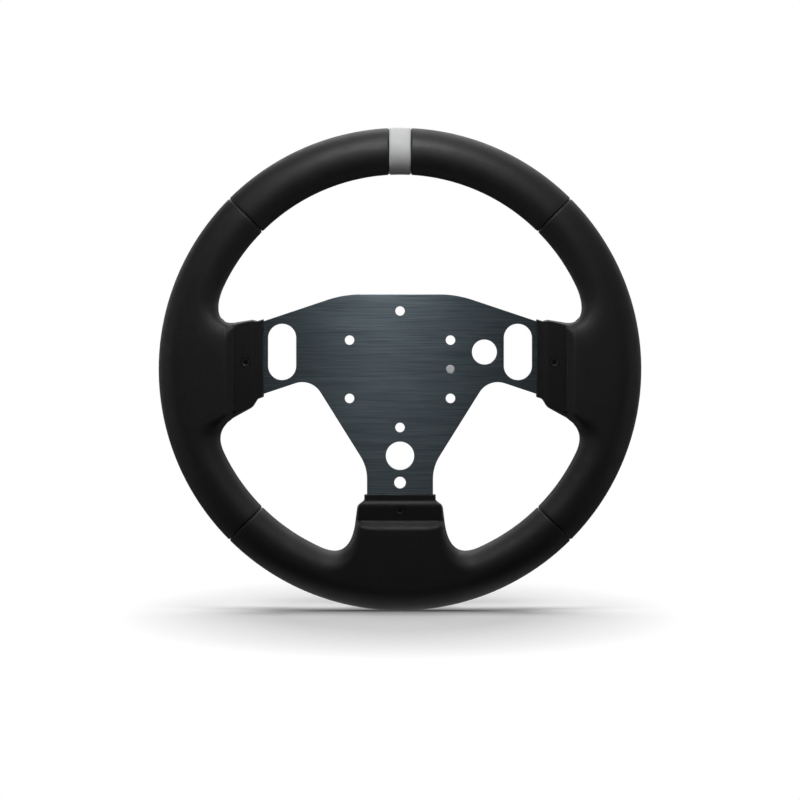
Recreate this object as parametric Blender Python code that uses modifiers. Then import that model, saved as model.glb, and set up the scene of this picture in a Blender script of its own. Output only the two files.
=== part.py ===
"""A round racing wheel: a leather-wrapped rim on a flat brushed plate with three spokes.

The wheel's axis lies along Y, with the driver on the -Y side, +X to the driver's right and +Z up.
The origin is the centre of the bolt circle on the plate's rear face, where a hub bolts on.
"""

import math
from dataclasses import dataclass

import bmesh
import bpy
from mathutils import Vector

# Clearances
FIT_GAP = 0.0003  # between pieces that touch

# Rim grip
RIM_DIAMETER = 0.290
RIM_WIDTH = 0.0281  # across the grip, from the outer edge to the inner edge
RIM_DEPTH = 0.030  # front to back
CREST_FLAT = 0.0006  # flat line left along the front and the back of the grip
LEATHER = 0.0012  # thickness
SEAM_ANGLES = (45.0, 135.0, 225.0, 315.0)
SEAM_GAP = 0.0008  # between two pieces of leather
SEAM_TUCK = 0.0006  # how deep a leather edge turns in
SEAM_ROUND = 0.0016  # length over which it turns in
BAND_WIDTH = 0.0130  # centre band, edge to edge

# Steel armature inside the grip
HOOP_WIRE = 0.008  # diameter of the round bar
BRACKET_THICKNESS = 0.0025
BRACKET_SECTOR = 15.0  # degrees of the hoop that one strap covers
BRACKET_WRAP = 130.0  # degrees round the bar that the strap's end hooks
BRACKET_LAP = 0.018  # length of strap that lies on the spoke

# Spoke plate
PLATE_THICKNESS = 0.004
PLATE_TOP = 0.045  # height of the flat top edge
PLATE_SHOULDER = 0.0336  # half width where the top edge bends down into an arm
SHOULDER_RADIUS = 0.065
ARM_SLOPE = 18.5  # degrees, both edges of an arm fall outwards
CROTCH_X = 0.0532  # corner between an arm's lower edge and the foot
CROTCH_Z = -0.0052
CROTCH_RADIUS = 0.013
FOOT_HALF_WIDTH = 0.0198
FOOT_BEND_Z = -0.0586  # where the foot's slanted edge turns vertical
FOOT_BEND_RADIUS = 0.026
TONGUE_GAP = 0.005  # from a spoke's hidden end to the hoop
TONGUE_RADIUS = 0.003

# Holes in the plate
BOLT_CIRCLE = 0.070
BOLT_HOLE = 0.0057
BOLT_ANGLES = (30.0, 90.0, 150.0, 210.0, 270.0, 330.0)
PIN_X = 0.0302
PIN_DIAMETER = 0.0052
PIN_STANDS_OUT = 0.003  # behind the plate, into the hub
PIN_LEAD = 0.0005  # chamfer on its rear end
PORT_Z = 0.01035
SLOT_Z = 0.0104
SLOT_LENGTH = 0.0338

# Places and widths of ports and slots, in percent of the room on a spoke from the bolts to the cover
PORT_PLACE = 39.5
PORT_WIDTH = 29.0
SLOT_PLACE = 78.3
SLOT_WIDTH = 32.7
FOOT_PORT_PLACE = 42.2
FOOT_PORT_WIDTH = 42.2
FOOT_HOLE_PLACE = 82.1
FOOT_HOLE_WIDTH = 17.4

# Leather bosses where the spokes enter the grip
SIDE_BOSS_REACH = 0.0175  # from the grip's inner edge in towards the hub
FOOT_BOSS_REACH = 0.0264
BOSS_ROUND = 0.006  # width of the rounded edge at the boss's end
LEATHER_RISE = 0.0064  # slope from the boss's end up to the full depth of the grip
LEATHER_PROUD = 0.0006  # leather over the cover beside it

# Moulded covers
LIP_LENGTH = 0.0034
LIP_HEIGHT = 0.0074  # over the plate's face
LIP_EDGE = 0.0006  # chamfer on the lip's end
BEVEL_LENGTH = 0.0030
TERRACE_HEIGHT = 0.0088  # over the plate's face
SIDE_TERRACE = 0.0110
FOOT_TERRACE = 0.0088
COVER_ROUND = 0.0022  # rounded long edges of the terrace
LIP_ROUND = 0.0010

# Cover screws and their inserts
SIDE_SCREW_SETBACK = 0.0071  # from the end of the cover
FOOT_SCREW_SETBACK = 0.0059
SIDE_SCREW_Z = 0.0039
SCREW_SHANK = 0.0030
SCREW_HEAD = 0.0055
SCREW_HEAD_HEIGHT = 0.0030
SCREW_SOCKET = 0.0027
SCREW_SOCKET_DEPTH = 0.0016
SCREW_FLOOR = 0.0047  # cover material under the head
SCREW_LEAD = 0.0003  # chamfer round the screw's hole
INSERT_DIAMETER = 0.0042
INSERT_LENGTH = 0.0040

# Rivets through spoke and strap
RIVET_SHANK = 0.004
RIVET_HEAD = 0.007
RIVET_HEAD_HEIGHT = 0.0014
RIVET_SPACING = 0.016
RIVET_SETBACK = 0.009  # from the spoke's end
RIVET_DOME = 46.0  # degrees round a head's dome to its facet ring

# Facets
ROUND_STEPS = 3  # in a quarter turn of the grip's section
RING_STEP = 7.5  # degrees
FLARE_STEPS = 6
BOSS_STEPS = 4
BOSS_COLUMNS = 3
COVER_STEPS = 3
HOOP_STEPS = 48
HOOP_SIDES = 8
TURNED_STEPS = 10
HOLE_STEP = 24.0  # degrees on a large hole
CORNER_STEP = 12.0  # degrees on an outline's fillet
HOOK_STEP = 30.0  # degrees on a strap's hook
CURVE_STEP = 0.002  # of a flare's parameter, in searching along it
SHARP_ANGLE = 35.0  # degrees between facets over which an edge shades as sharp
WELD = 0.000001
MERGE = 0.00001

# Values that follow
OUTER_RADIUS = RIM_DIAMETER / 2
INNER_RADIUS = OUTER_RADIUS - RIM_WIDTH
HOOP_RADIUS = OUTER_RADIUS - RIM_WIDTH / 2
GRIP_ROUND = (RIM_WIDTH - CREST_FLAT) / 2
HALF_DEPTH = RIM_DEPTH / 2
HALF_PLATE = PLATE_THICKNESS / 2
MIDDLE_Y = -HALF_PLATE
LIP_LEVEL = HALF_PLATE + LIP_HEIGHT
TERRACE_LEVEL = HALF_PLATE + TERRACE_HEIGHT
LEATHER_LEVEL = TERRACE_LEVEL + LEATHER_PROUD
TONGUE_END = HOOP_RADIUS - HOOP_WIRE / 2 - TONGUE_GAP
BRACKET_FRONT = FIT_GAP
BRACKET_BACK = BRACKET_FRONT + BRACKET_THICKNESS
BRACKET_START = TONGUE_END - BRACKET_LAP


@dataclass
class SpokeEdge:
    """One long edge of a spoke: margins beside the plate's edge, then a flare into the rim."""

    lip: float  # margin along the lip
    shoulder: float  # margin where the terrace starts
    boss: float  # margin where the leather starts
    lead: float  # degrees that the leather's edge spreads as it leaves the cover
    leave: float  # degrees from the spoke's axis to where the flare meets the rim
    boss_pull: float  # curve handle at the cover
    rim_pull: float  # curve handle at the rim


UPPER_EDGE = SpokeEdge(
    lip=0.0013, shoulder=0.0031, boss=0.0050, lead=-6.6, leave=25.4, boss_pull=0.0128, rim_pull=0.0107
)
LOWER_EDGE = SpokeEdge(
    lip=0.0019, shoulder=0.0058, boss=0.0082, lead=32.0, leave=25.4, boss_pull=0.0103, rim_pull=0.0098
)
FOOT_EDGE = SpokeEdge(
    lip=0.0017, shoulder=0.0058, boss=0.0069, lead=6.3, leave=26.4, boss_pull=0.0266, rim_pull=0.0080
)


@dataclass
class Spoke:
    """A spoke in its own plan frame: outwards along its axis, and across as the angle grows."""

    name: str
    angle: float
    edges: dict  # the SpokeEdge on the -1 and the +1 side
    reach: float
    terrace: float
    screw_setback: float
    screw_across: float

    @property
    def end(self):
        """Distance from the hub at which the cover stops and the leather starts."""
        return INNER_RADIUS - self.reach

    @property
    def lip_start(self):
        return self.end - self.terrace - BEVEL_LENGTH - LIP_LENGTH

    @property
    def screw_out(self):
        return self.end - self.screw_setback

    def plate_edge(self, sign, out):
        """How far the plate reaches to this side of the spoke's axis."""
        edge = self.edges[sign]
        if edge is FOOT_EDGE:
            return FOOT_HALF_WIDTH
        if edge is UPPER_EDGE:
            return arm_top(out)
        return -arm_bottom(out)

    def boss_half_width(self, sign):
        return self.plate_edge(sign, self.end) + self.edges[sign].boss

    def plan(self, out, across):
        return polar(out, self.angle) + polar(across, self.angle + 90)


def polar(radius, degrees):
    turn = math.radians(degrees)
    return Vector((radius * math.cos(turn), radius * math.sin(turn)))


def arm_top(x):
    return PLATE_TOP - (x - PLATE_SHOULDER) * math.tan(math.radians(ARM_SLOPE))


def arm_bottom(x):
    return CROTCH_Z - (x - CROTCH_X) * math.tan(math.radians(ARM_SLOPE))


RIGHT = Spoke(
    name="right",
    angle=0.0,
    edges={-1: LOWER_EDGE, 1: UPPER_EDGE},
    reach=SIDE_BOSS_REACH,
    terrace=SIDE_TERRACE,
    screw_setback=SIDE_SCREW_SETBACK,
    screw_across=SIDE_SCREW_Z,
)
LEFT = Spoke(
    name="left",
    angle=180.0,
    edges={-1: UPPER_EDGE, 1: LOWER_EDGE},
    reach=SIDE_BOSS_REACH,
    terrace=SIDE_TERRACE,
    screw_setback=SIDE_SCREW_SETBACK,
    screw_across=-SIDE_SCREW_Z,
)
BOTTOM = Spoke(
    name="bottom",
    angle=270.0,
    edges={-1: FOOT_EDGE, 1: FOOT_EDGE},
    reach=FOOT_BOSS_REACH,
    terrace=FOOT_TERRACE,
    screw_setback=FOOT_SCREW_SETBACK,
    screw_across=0.0,
)
SPOKES = (RIGHT, LEFT, BOTTOM)


# Scene helpers


def clear_scene():
    for obj in list(bpy.data.objects):
        bpy.data.objects.remove(obj, do_unlink=True)


def new_collection(name):
    collection = bpy.data.collections.new(name)
    bpy.context.scene.collection.children.link(collection)
    return collection


def make_material(name, colour, roughness, metallic):
    material = bpy.data.materials.new(name)
    material.use_nodes = True
    shader = material.node_tree.nodes["Principled BSDF"]
    shader.inputs["Base Color"].default_value = (*colour, 1.0)
    shader.inputs["Roughness"].default_value = roughness
    shader.inputs["Metallic"].default_value = metallic
    return material


def add_mesh(name, bm, material=None):
    """A named object from a bmesh: a part with its material, or a cutter without one."""
    mesh = bpy.data.meshes.new(name)
    bm.to_mesh(mesh)
    bm.free()
    obj = bpy.data.objects.new(name, mesh)
    if material:
        mesh.materials.append(material)
        mesh.shade_smooth()
        mesh.set_sharp_from_angle(angle=math.radians(SHARP_ANGLE))
        parts.objects.link(obj)
        obj.parent = wheel
    else:
        cutters.objects.link(obj)
        obj.hide_render = True
        obj.display_type = "WIRE"
    return obj


def cut(obj, cutter):
    modifier = obj.modifiers.new(cutter.name, "BOOLEAN")
    modifier.operation = "DIFFERENCE"
    modifier.object = cutter


def turned(name, profile, x, y, z, material=None):
    """A turned piece on an axis along Y. The profile holds (radius, place in front of y) from its front."""
    bm = bmesh.new()
    verts = [bm.verts.new((radius, 0, front)) for radius, front in profile]
    for first, second in zip(verts, verts[1:]):
        bm.edges.new((first, second))
    if profile[0][0] > 0:
        bm.edges.new((verts[-1], verts[0]))
    obj = add_mesh(name, bm, material)
    obj.rotation_euler = (math.pi / 2, 0, 0)
    obj.location = (x, y, z)
    screw = obj.modifiers.new("turn", "SCREW")
    screw.steps = TURNED_STEPS
    screw.render_steps = TURNED_STEPS
    screw.use_merge_vertices = True
    screw.merge_threshold = MERGE
    return obj


# Flat outlines


def arc(centre, radius, first, last, step):
    """Points from one angle to another, both ends included, at about this step."""
    count = max(1, math.ceil(abs(last - first) / step))
    return [centre + polar(radius, first + (last - first) * k / count) for k in range(count + 1)]


def circle(centre, diameter, step=HOLE_STEP):
    return arc(centre, diameter / 2, 0, 360, step)[:-1]


def filleted(corners):
    """An outline through (point, radius) corners, each rounded by an arc."""
    outline = []
    for k, (corner, radius) in enumerate(corners):
        before = (corners[k - 1][0] - corner).normalized()
        after = (corners[(k + 1) % len(corners)][0] - corner).normalized()
        if radius == 0:
            outline.append(corner)
            continue
        half = before.angle(after) / 2
        centre = corner + (before + after).normalized() * radius / math.sin(half)
        start = corner + before * radius / math.tan(half) - centre
        stop = corner + after * radius / math.tan(half) - centre
        first = math.degrees(math.atan2(start.y, start.x))
        sweep = math.degrees(stop.angle_signed(start))
        outline += arc(centre, radius, first, first + sweep, CORNER_STEP)
    return outline


def flat_solid(name, outlines, front, back, material=None):
    """A flat piece between two depths. The first outline is its edge and the others are holes."""
    curve = bpy.data.curves.new(name, "CURVE")
    curve.dimensions = "2D"
    curve.fill_mode = "BOTH"
    curve.extrude = (back - front) / 2
    for outline in outlines:
        spline = curve.splines.new("POLY")
        spline.points.add(len(outline) - 1)
        for point, place in zip(spline.points, outline):
            point.co = (place.x, place.y, 0, 1)
        spline.use_cyclic_u = True
    source = bpy.data.objects.new(name + "_outline", curve)
    bpy.context.scene.collection.objects.link(source)
    graph = bpy.context.evaluated_depsgraph_get()
    mesh = bpy.data.meshes.new_from_object(source.evaluated_get(graph))
    bpy.data.objects.remove(source)
    bm = bmesh.new()
    bm.from_mesh(mesh)
    bpy.data.meshes.remove(mesh)
    bmesh.ops.remove_doubles(bm, verts=bm.verts, dist=WELD)
    caps = [face for face in bm.faces if abs(face.normal.z) > 0.5]
    bmesh.ops.beautify_fill(bm, faces=caps, edges=[edge for edge in bm.edges if not edge.is_boundary])
    obj = add_mesh(name, bm, material)
    obj.rotation_euler = (math.pi / 2, 0, 0)
    obj.location = (0, (front + back) / 2, 0)
    return obj


def slot_outline(centre, width):
    """An upright slot with round ends."""
    rise = Vector((0, (SLOT_LENGTH - width) / 2))
    top = arc(centre + rise, width / 2, 0, 180, HOLE_STEP)
    return top + arc(centre - rise, width / 2, 180, 360, HOLE_STEP)


def plate_outline():
    right = [
        (Vector((PLATE_SHOULDER, PLATE_TOP)), SHOULDER_RADIUS),
        (Vector((TONGUE_END, arm_top(TONGUE_END))), TONGUE_RADIUS),
        (Vector((TONGUE_END, arm_bottom(TONGUE_END))), TONGUE_RADIUS),
        (Vector((CROTCH_X, CROTCH_Z)), CROTCH_RADIUS),
        (Vector((FOOT_HALF_WIDTH, FOOT_BEND_Z)), FOOT_BEND_RADIUS),
        (Vector((FOOT_HALF_WIDTH, -TONGUE_END)), TONGUE_RADIUS),
    ]
    left = [(Vector((-corner.x, corner.y)), radius) for corner, radius in reversed(right)]
    return filleted(right + left)


def rivet_places(spoke):
    out = TONGUE_END - RIVET_SETBACK
    return [spoke.plan(out, sign * RIVET_SPACING / 2) for sign in (-1, 1)]


def screw_place(spoke):
    return spoke.plan(spoke.screw_out, spoke.screw_across)


def make_plate(material):
    holes = [circle(polar(BOLT_CIRCLE / 2, angle), BOLT_HOLE) for angle in BOLT_ANGLES]
    holes.append(circle(Vector((PIN_X, 0)), PIN_DIAMETER + 2 * FIT_GAP))
    bolts_x = BOLT_CIRCLE / 2 * math.cos(math.radians(BOLT_ANGLES[0]))
    arm = (RIGHT.lip_start - bolts_x) / 100
    port = Vector((bolts_x + PORT_PLACE * arm, PORT_Z))
    holes.append(circle(port, PORT_WIDTH * arm))
    slot_x = bolts_x + SLOT_PLACE * arm
    holes += [slot_outline(Vector((x, SLOT_Z)), SLOT_WIDTH * arm) for x in (-slot_x, slot_x)]
    foot = (BOTTOM.lip_start - BOLT_CIRCLE / 2) / 100
    for place, width in ((FOOT_PORT_PLACE, FOOT_PORT_WIDTH), (FOOT_HOLE_PLACE, FOOT_HOLE_WIDTH)):
        holes.append(circle(Vector((0, -BOLT_CIRCLE / 2 - place * foot)), width * foot))
    turn = 360 / TURNED_STEPS
    for spoke in SPOKES:
        holes.append(circle(screw_place(spoke), SCREW_SHANK + 2 * FIT_GAP, turn))
        holes += [circle(place, RIVET_SHANK + 2 * FIT_GAP, turn) for place in rivet_places(spoke)]
    flat_solid("spoke_plate", [plate_outline()] + holes, -PLATE_THICKNESS, 0, material)


def make_pin(material):
    radius = PIN_DIAMETER / 2
    back = -PLATE_THICKNESS - PIN_STANDS_OUT
    profile = [(0, 0), (radius, 0), (radius, back + PIN_LEAD), (radius - PIN_LEAD, back), (0, back)]
    turned("locating_pin", profile, PIN_X, -PLATE_THICKNESS, 0, material)


# Rim sections, as points on the front half over the wheel's middle plane


def rounding(width, height, inset, steps=ROUND_STEPS):
    """(distance in from the edge, height) pairs of a quarter ellipse, from the edge up to the crest."""
    pairs = []
    for k in range(steps + 1):
        turn = math.pi / 2 * k / steps
        inward = inset + (width - inset) * (1 - math.cos(turn))
        pairs.append((inward, (height - inset) * math.sin(turn)))
    return pairs


def raised(plan, height):
    return Vector((plan.x, -height, plan.y))


def outer_half(direction, inset, shift=0.0):
    """Section points from the crest out to the rim's outer edge, along a plan direction."""
    across = Vector((-direction.y, direction.x)) * shift
    points = []
    for inward, height in reversed(rounding(GRIP_ROUND, HALF_DEPTH, inset)):
        along = math.sqrt((OUTER_RADIUS - inward) ** 2 - shift**2)
        points.append(raised(direction * along + across, height))
    return points


def ring_station(angle, shift, inset):
    """A whole section of the plain ring on the plane at this angle, moved across by the shift."""
    direction = polar(1, angle)
    across = polar(shift, angle + 90)
    inner = []
    for inward, height in rounding(GRIP_ROUND, HALF_DEPTH, inset):
        along = math.sqrt((INNER_RADIUS + inward) ** 2 - shift**2)
        inner.append(raised(direction * along + across, height))
    return inner + outer_half(direction, inset, shift)


class Flare:
    """The curve of a boss's edge, from the rim's inner circle in to the cover, in the spoke's frame."""

    STEEPEST = 0.5  # least cosine by which a section slants from the curve's normal

    def __init__(self, spoke, sign):
        edge = spoke.edges[sign]
        rim = polar(INNER_RADIUS, edge.leave)
        cover = Vector((spoke.end, spoke.boss_half_width(sign)))
        along_rim = polar(edge.rim_pull, edge.leave - 90)
        self.points = (rim, rim + along_rim, cover + polar(edge.boss_pull, edge.lead), cover)
        self.spoke = spoke
        self.sign = sign

    def at(self, t):
        a, b, c, d = self.points
        s = 1 - t
        return a * s**3 + b * 3 * s * s * t + c * 3 * s * t * t + d * t**3

    def normal_angle(self, t):
        """Direction into the material, in degrees from the spoke's axis."""
        a, b, c, d = self.points
        s = 1 - t
        heading = (b - a) * s * s + (c - b) * 2 * s * t + (d - c) * t * t
        return math.degrees(math.atan2(heading.x, -heading.y))

    def t_at(self, out):
        """The parameter nearest the cover at which the curve is this far from the hub."""
        t = 1.0
        while self.at(t).x < out and t > 0:
            t -= CURVE_STEP
        return max(t, 0.0)

    def lift(self, section):
        return [raised(self.spoke.plan(point.x, self.sign * point.y), rise) for point, rise in section]

    def inner_half(self, t, facing, height, inset):
        """A section from the boss's edge up to its flat top, along a plan direction given in degrees."""
        width = GRIP_ROUND + (BOSS_ROUND - GRIP_ROUND) * t
        slant = max(self.STEEPEST, math.cos(math.radians(facing - self.normal_angle(t))))
        start = self.at(t)
        profile = rounding(width, height, inset)
        return [(start + polar(inward / slant, facing), rise) for inward, rise in profile]

    def chain(self, root, inset):
        """Whole sections from the plain ring to the boss's root, turning to lie along the spoke."""
        last = self.t_at(root)
        correction = -90 - self.normal_angle(last)
        sections = []
        for k in range(FLARE_STEPS + 1):
            share = k / FLARE_STEPS
            t = last * share
            facing = self.normal_angle(t) + correction * share**2
            inner = self.inner_half(t, facing, HALF_DEPTH, inset)
            top = inner[-1][0]
            radial = math.atan2(top.y, top.x)
            parallel = math.asin(top.y / HOOP_RADIUS)
            turn = math.degrees(radial + (parallel - radial) * share)
            crest = polar(1, self.spoke.angle + self.sign * turn)
            sections.append(self.lift(inner) + outer_half(crest, inset))
        return sections

    def row(self, out, height, inset):
        """Half of a section across the boss, from this edge to its flat top."""
        return self.lift(self.inner_half(self.t_at(out), -90, height, inset))


def between(first, last, count):
    """Points strictly between two, evenly spaced."""
    return [first.lerp(last, k / count) for k in range(1, count)]


def boss_rows(spoke, inset):
    """(distance out, height) of the sections across a boss, from its root down to its end."""
    root = spoke.end + LEATHER_RISE
    end = spoke.end + FIT_GAP / 2
    face = []
    for k in range(BOSS_STEPS + 1):
        share = 1 - k / BOSS_STEPS
        rise = (HALF_DEPTH - LEATHER_LEVEL) * share * share * (3 - 2 * share)
        face.append(Vector((end + (root - end) * share, LEATHER_LEVEL + rise)))
    slopes = [0.0]
    for outer, inner in zip(face, face[1:]):
        slopes.append(math.atan2(outer.y - inner.y, outer.x - inner.x))
    rows = []
    for place, before, after in zip(face, slopes, slopes[1:]):
        lean = (before + after) / 2
        move = inset / math.cos((after - before) / 2)
        rows.append((place.x + move * math.sin(lean), place.y - move * math.cos(lean)))
    rows.append((face[-1].x, face[-1].y - inset / math.cos(slopes[-1])))
    return rows


class Skin:
    """The front half of a stretch of rim surface, set this far inside the leather's face."""

    def __init__(self, inset):
        self.bm = bmesh.new()
        self.inset = inset

    def verts(self, points):
        return [self.bm.verts.new(point) for point in points]

    def strips(self, lines):
        """Faces between neighbouring lines of vertices, which run outwards in order of angle."""
        for a, b in zip(lines, lines[1:]):
            for k in range(len(a) - 1):
                self.bm.faces.new((a[k], a[k + 1], b[k + 1], b[k]))

    def beside_seam(self, seam, direction, whole):
        """Sections next to a seam, turned in at the edge. A whole ring also has one on the seam."""
        angle, shift = seam
        edge = shift + direction * SEAM_GAP / 2
        full = edge + direction * SEAM_ROUND
        tucked = self.inset + SEAM_TUCK
        sections = [ring_station(angle, shift, tucked)] if whole else []
        sections.append(ring_station(angle, edge, tucked))
        sections.append(ring_station(angle, full, self.inset))
        return sections, angle + math.degrees(full / HOOP_RADIUS)

    def ring(self, first, last):
        """Sections strictly between two angles."""
        count = max(1, round(abs(last - first) / RING_STEP))
        angles = [first + (last - first) * k / count for k in range(1, count)]
        return [ring_station(angle, 0, self.inset) for angle in angles]

    def plain(self, start, stop, whole=False):
        """The grip from one seam to the next with no spoke between them."""
        head, first = self.beside_seam(start, 1, whole)
        tail, last = self.beside_seam(stop, -1, whole)
        sections = head + self.ring(first, last) + tail[::-1]
        self.strips([self.verts(points) for points in sections])

    def side(self, spoke, sign, seam, whole):
        """Sections from a seam to the boss's root on one side of a spoke, and that edge's flare."""
        flare = Flare(spoke, sign)
        angle, shift = seam
        near = spoke.angle + (angle - spoke.angle + 180) % 360 - 180
        head, first = self.beside_seam((near, shift), -sign, whole)
        last = spoke.angle + sign * spoke.edges[sign].leave
        root = boss_rows(spoke, self.inset)[0][0]
        sections = head + self.ring(first, last) + flare.chain(root, self.inset)
        return [self.verts(points) for points in sections], flare

    def boss(self, spoke, start, stop, whole=False):
        """The grip from one seam to the next with a spoke's boss between them."""
        low, low_flare = self.side(spoke, -1, start, whole)
        high, high_flare = self.side(spoke, 1, stop, whole)
        self.strips(low)
        self.strips(high[::-1])
        low_root = low[-1]
        high_root = high[-1]
        columns = []
        for point in between(low_root[ROUND_STEPS].co, high_root[ROUND_STEPS].co, BOSS_COLUMNS):
            across = Vector((point.x, point.z)).dot(polar(1, spoke.angle + 90))
            crest = polar(1, spoke.angle + math.degrees(math.asin(across / HOOP_RADIUS)))
            columns.append(self.verts([point] + outer_half(crest, self.inset)))
        self.strips([low_root[ROUND_STEPS:]] + columns + [high_root[ROUND_STEPS:]])
        top = ROUND_STEPS + 1
        rows = [low_root[:top] + [column[0] for column in columns] + high_root[:top][::-1]]
        for out, level in boss_rows(spoke, self.inset)[1:]:
            low_half = low_flare.row(out, level + self.inset, self.inset)
            high_half = high_flare.row(out, level + self.inset, self.inset)
            points = low_half + between(low_half[-1], high_half[-1], BOSS_COLUMNS) + high_half[::-1]
            rows.append(self.verts(points))
        self.strips(rows)
        if whole:
            self.bm.faces.new(rows[-1])

    def finish(self, name, material):
        bmesh.ops.remove_doubles(self.bm, verts=self.bm.verts, dist=WELD)
        obj = add_mesh(name, self.bm, material)
        obj.location = (0, MIDDLE_Y, 0)
        mirror = obj.modifiers.new("back half", "MIRROR")
        mirror.use_axis = (False, True, False)
        mirror.merge_threshold = MERGE
        return obj


BAND_SHIFT = (BAND_WIDTH + SEAM_GAP) / 2
RIGHT_UPPER_SEAM = (SEAM_ANGLES[0], 0.0)
LEFT_UPPER_SEAM = (SEAM_ANGLES[1], 0.0)
LEFT_LOWER_SEAM = (SEAM_ANGLES[2], 0.0)
RIGHT_LOWER_SEAM = (SEAM_ANGLES[3], 0.0)
BAND_RIGHT_SEAM = (90.0, -BAND_SHIFT)
BAND_LEFT_SEAM = (90.0, BAND_SHIFT)


def make_wrap(name, start, stop, material, spoke=None):
    skin = Skin(0)
    if spoke:
        skin.boss(spoke, start, stop)
    else:
        skin.plain(start, stop)
    obj = skin.finish(name, material)
    shell = obj.modifiers.new("thickness", "SOLIDIFY")
    shell.thickness = LEATHER
    shell.offset = -1
    shell.use_even_offset = True


def make_leather(black, grey):
    make_wrap("grip_wrap_right", RIGHT_LOWER_SEAM, RIGHT_UPPER_SEAM, black, RIGHT)
    make_wrap("grip_wrap_top_right", RIGHT_UPPER_SEAM, BAND_RIGHT_SEAM, black)
    make_wrap("centre_band", BAND_RIGHT_SEAM, BAND_LEFT_SEAM, grey)
    make_wrap("grip_wrap_top_left", BAND_LEFT_SEAM, LEFT_UPPER_SEAM, black)
    make_wrap("grip_wrap_left", LEFT_UPPER_SEAM, LEFT_LOWER_SEAM, black, LEFT)
    make_wrap("grip_wrap_bottom", LEFT_LOWER_SEAM, RIGHT_LOWER_SEAM, black, BOTTOM)


# Steel armature and the foam moulded over it


def torus(name, wire, material=None):
    bpy.ops.mesh.primitive_torus_add(
        major_radius=HOOP_RADIUS,
        minor_radius=wire / 2,
        major_segments=HOOP_STEPS,
        minor_segments=HOOP_SIDES,
    )
    ready = bpy.context.object
    bm = bmesh.new()
    bm.from_mesh(ready.data)
    bpy.data.objects.remove(ready)
    obj = add_mesh(name, bm, material)
    obj.rotation_euler = (math.pi / 2, 0, 0)
    obj.location = (0, MIDDLE_Y, 0)
    return obj


def sector(name, profile, middle, span, material=None):
    """A profile of (radius, y) points swept round the wheel's axis, a span of degrees about the middle."""
    bm = bmesh.new()
    start = polar(1, middle - span / 2)
    verts = [bm.verts.new((radius * start.x, y, radius * start.y)) for radius, y in profile]
    face = bm.faces.new(verts)
    steps = max(2, round(span / RING_STEP))
    bmesh.ops.spin(
        bm,
        geom=[face],
        axis=(0, -1, 0),
        cent=(0, 0, 0),
        angle=math.radians(span),
        steps=steps,
        use_duplicate=False,
    )
    bmesh.ops.recalc_face_normals(bm, faces=bm.faces)
    return add_mesh(name, bm, material)


def bracket_profile():
    """A strap flat on the plate's rear face whose end hooks over the hoop's bar."""
    centre = Vector((HOOP_RADIUS, MIDDLE_Y))
    inside = HOOP_WIRE / 2 + FIT_GAP
    outside = inside + BRACKET_THICKNESS
    lower = 180 - math.degrees(math.asin((BRACKET_FRONT - MIDDLE_Y) / inside))
    upper = 180 - math.degrees(math.asin((BRACKET_BACK - MIDDLE_Y) / outside))
    far = lower - BRACKET_WRAP
    hook = arc(centre, inside, lower, far, HOOK_STEP) + arc(centre, outside, far, upper, HOOK_STEP)
    return [Vector((BRACKET_START, BRACKET_FRONT))] + hook + [Vector((BRACKET_START, BRACKET_BACK))]


def rivet_cutter(name, place):
    radius = RIVET_SHANK / 2 + FIT_GAP
    reach = BRACKET_BACK + RIVET_HEAD_HEIGHT
    profile = [(0, reach), (radius, reach), (radius, -reach), (0, -reach)]
    return turned(name, profile, place.x, 0, place.y)


def rivet_profile():
    """Front head, shank and rear head, measured forwards from the plate's rear face."""
    front = PLATE_THICKNESS + FIT_GAP
    back = -BRACKET_BACK - FIT_GAP
    head = RIVET_HEAD / 2
    shank = RIVET_SHANK / 2
    ring = polar(1, RIVET_DOME)
    ring_radius = head * ring.y
    ring_rise = RIVET_HEAD_HEIGHT * ring.x
    return [
        (0, front + RIVET_HEAD_HEIGHT),
        (ring_radius, front + ring_rise),
        (head, front),
        (shank, front),
        (shank, back),
        (head, back),
        (ring_radius, back - ring_rise),
        (0, back - RIVET_HEAD_HEIGHT),
    ]


def make_armature(steel):
    torus("armature_hoop", HOOP_WIRE, steel)
    for spoke in SPOKES:
        name = f"hoop_bracket_{spoke.name}"
        bracket = sector(name, bracket_profile(), spoke.angle, BRACKET_SECTOR, steel)
        for end, place in zip(("first", "second"), rivet_places(spoke)):
            cut(bracket, rivet_cutter(f"rivet_hole_{spoke.name}_{end}", place))
            turned(f"tongue_rivet_{spoke.name}_{end}", rivet_profile(), place.x, 0, place.y, steel)


def tongue_prism(name, spoke, first, last, margin):
    """A block along a spoke that follows the plate's edges at a margin and clears both its faces."""
    corners = []
    for out, sign in ((first, -1), (last, -1), (last, 1), (first, 1)):
        corners.append(spoke.plan(out, sign * (spoke.plate_edge(sign, out) + margin)))
    return flat_solid(name, [corners], -PLATE_THICKNESS - margin, margin)


def pocket_profile():
    """Room in the foam for a strap, its hook and its rivets."""
    hook = HOOP_WIRE / 2 + BRACKET_THICKNESS + 2 * FIT_GAP
    inner = BRACKET_START - FIT_GAP
    outer = HOOP_RADIUS + hook
    front = -PLATE_THICKNESS - RIVET_HEAD_HEIGHT - 2 * FIT_GAP
    back = max(MIDDLE_Y + hook, BRACKET_BACK + RIVET_HEAD_HEIGHT + 2 * FIT_GAP)
    return [Vector((inner, front)), Vector((outer, front)), Vector((outer, back)), Vector((inner, back))]


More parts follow.
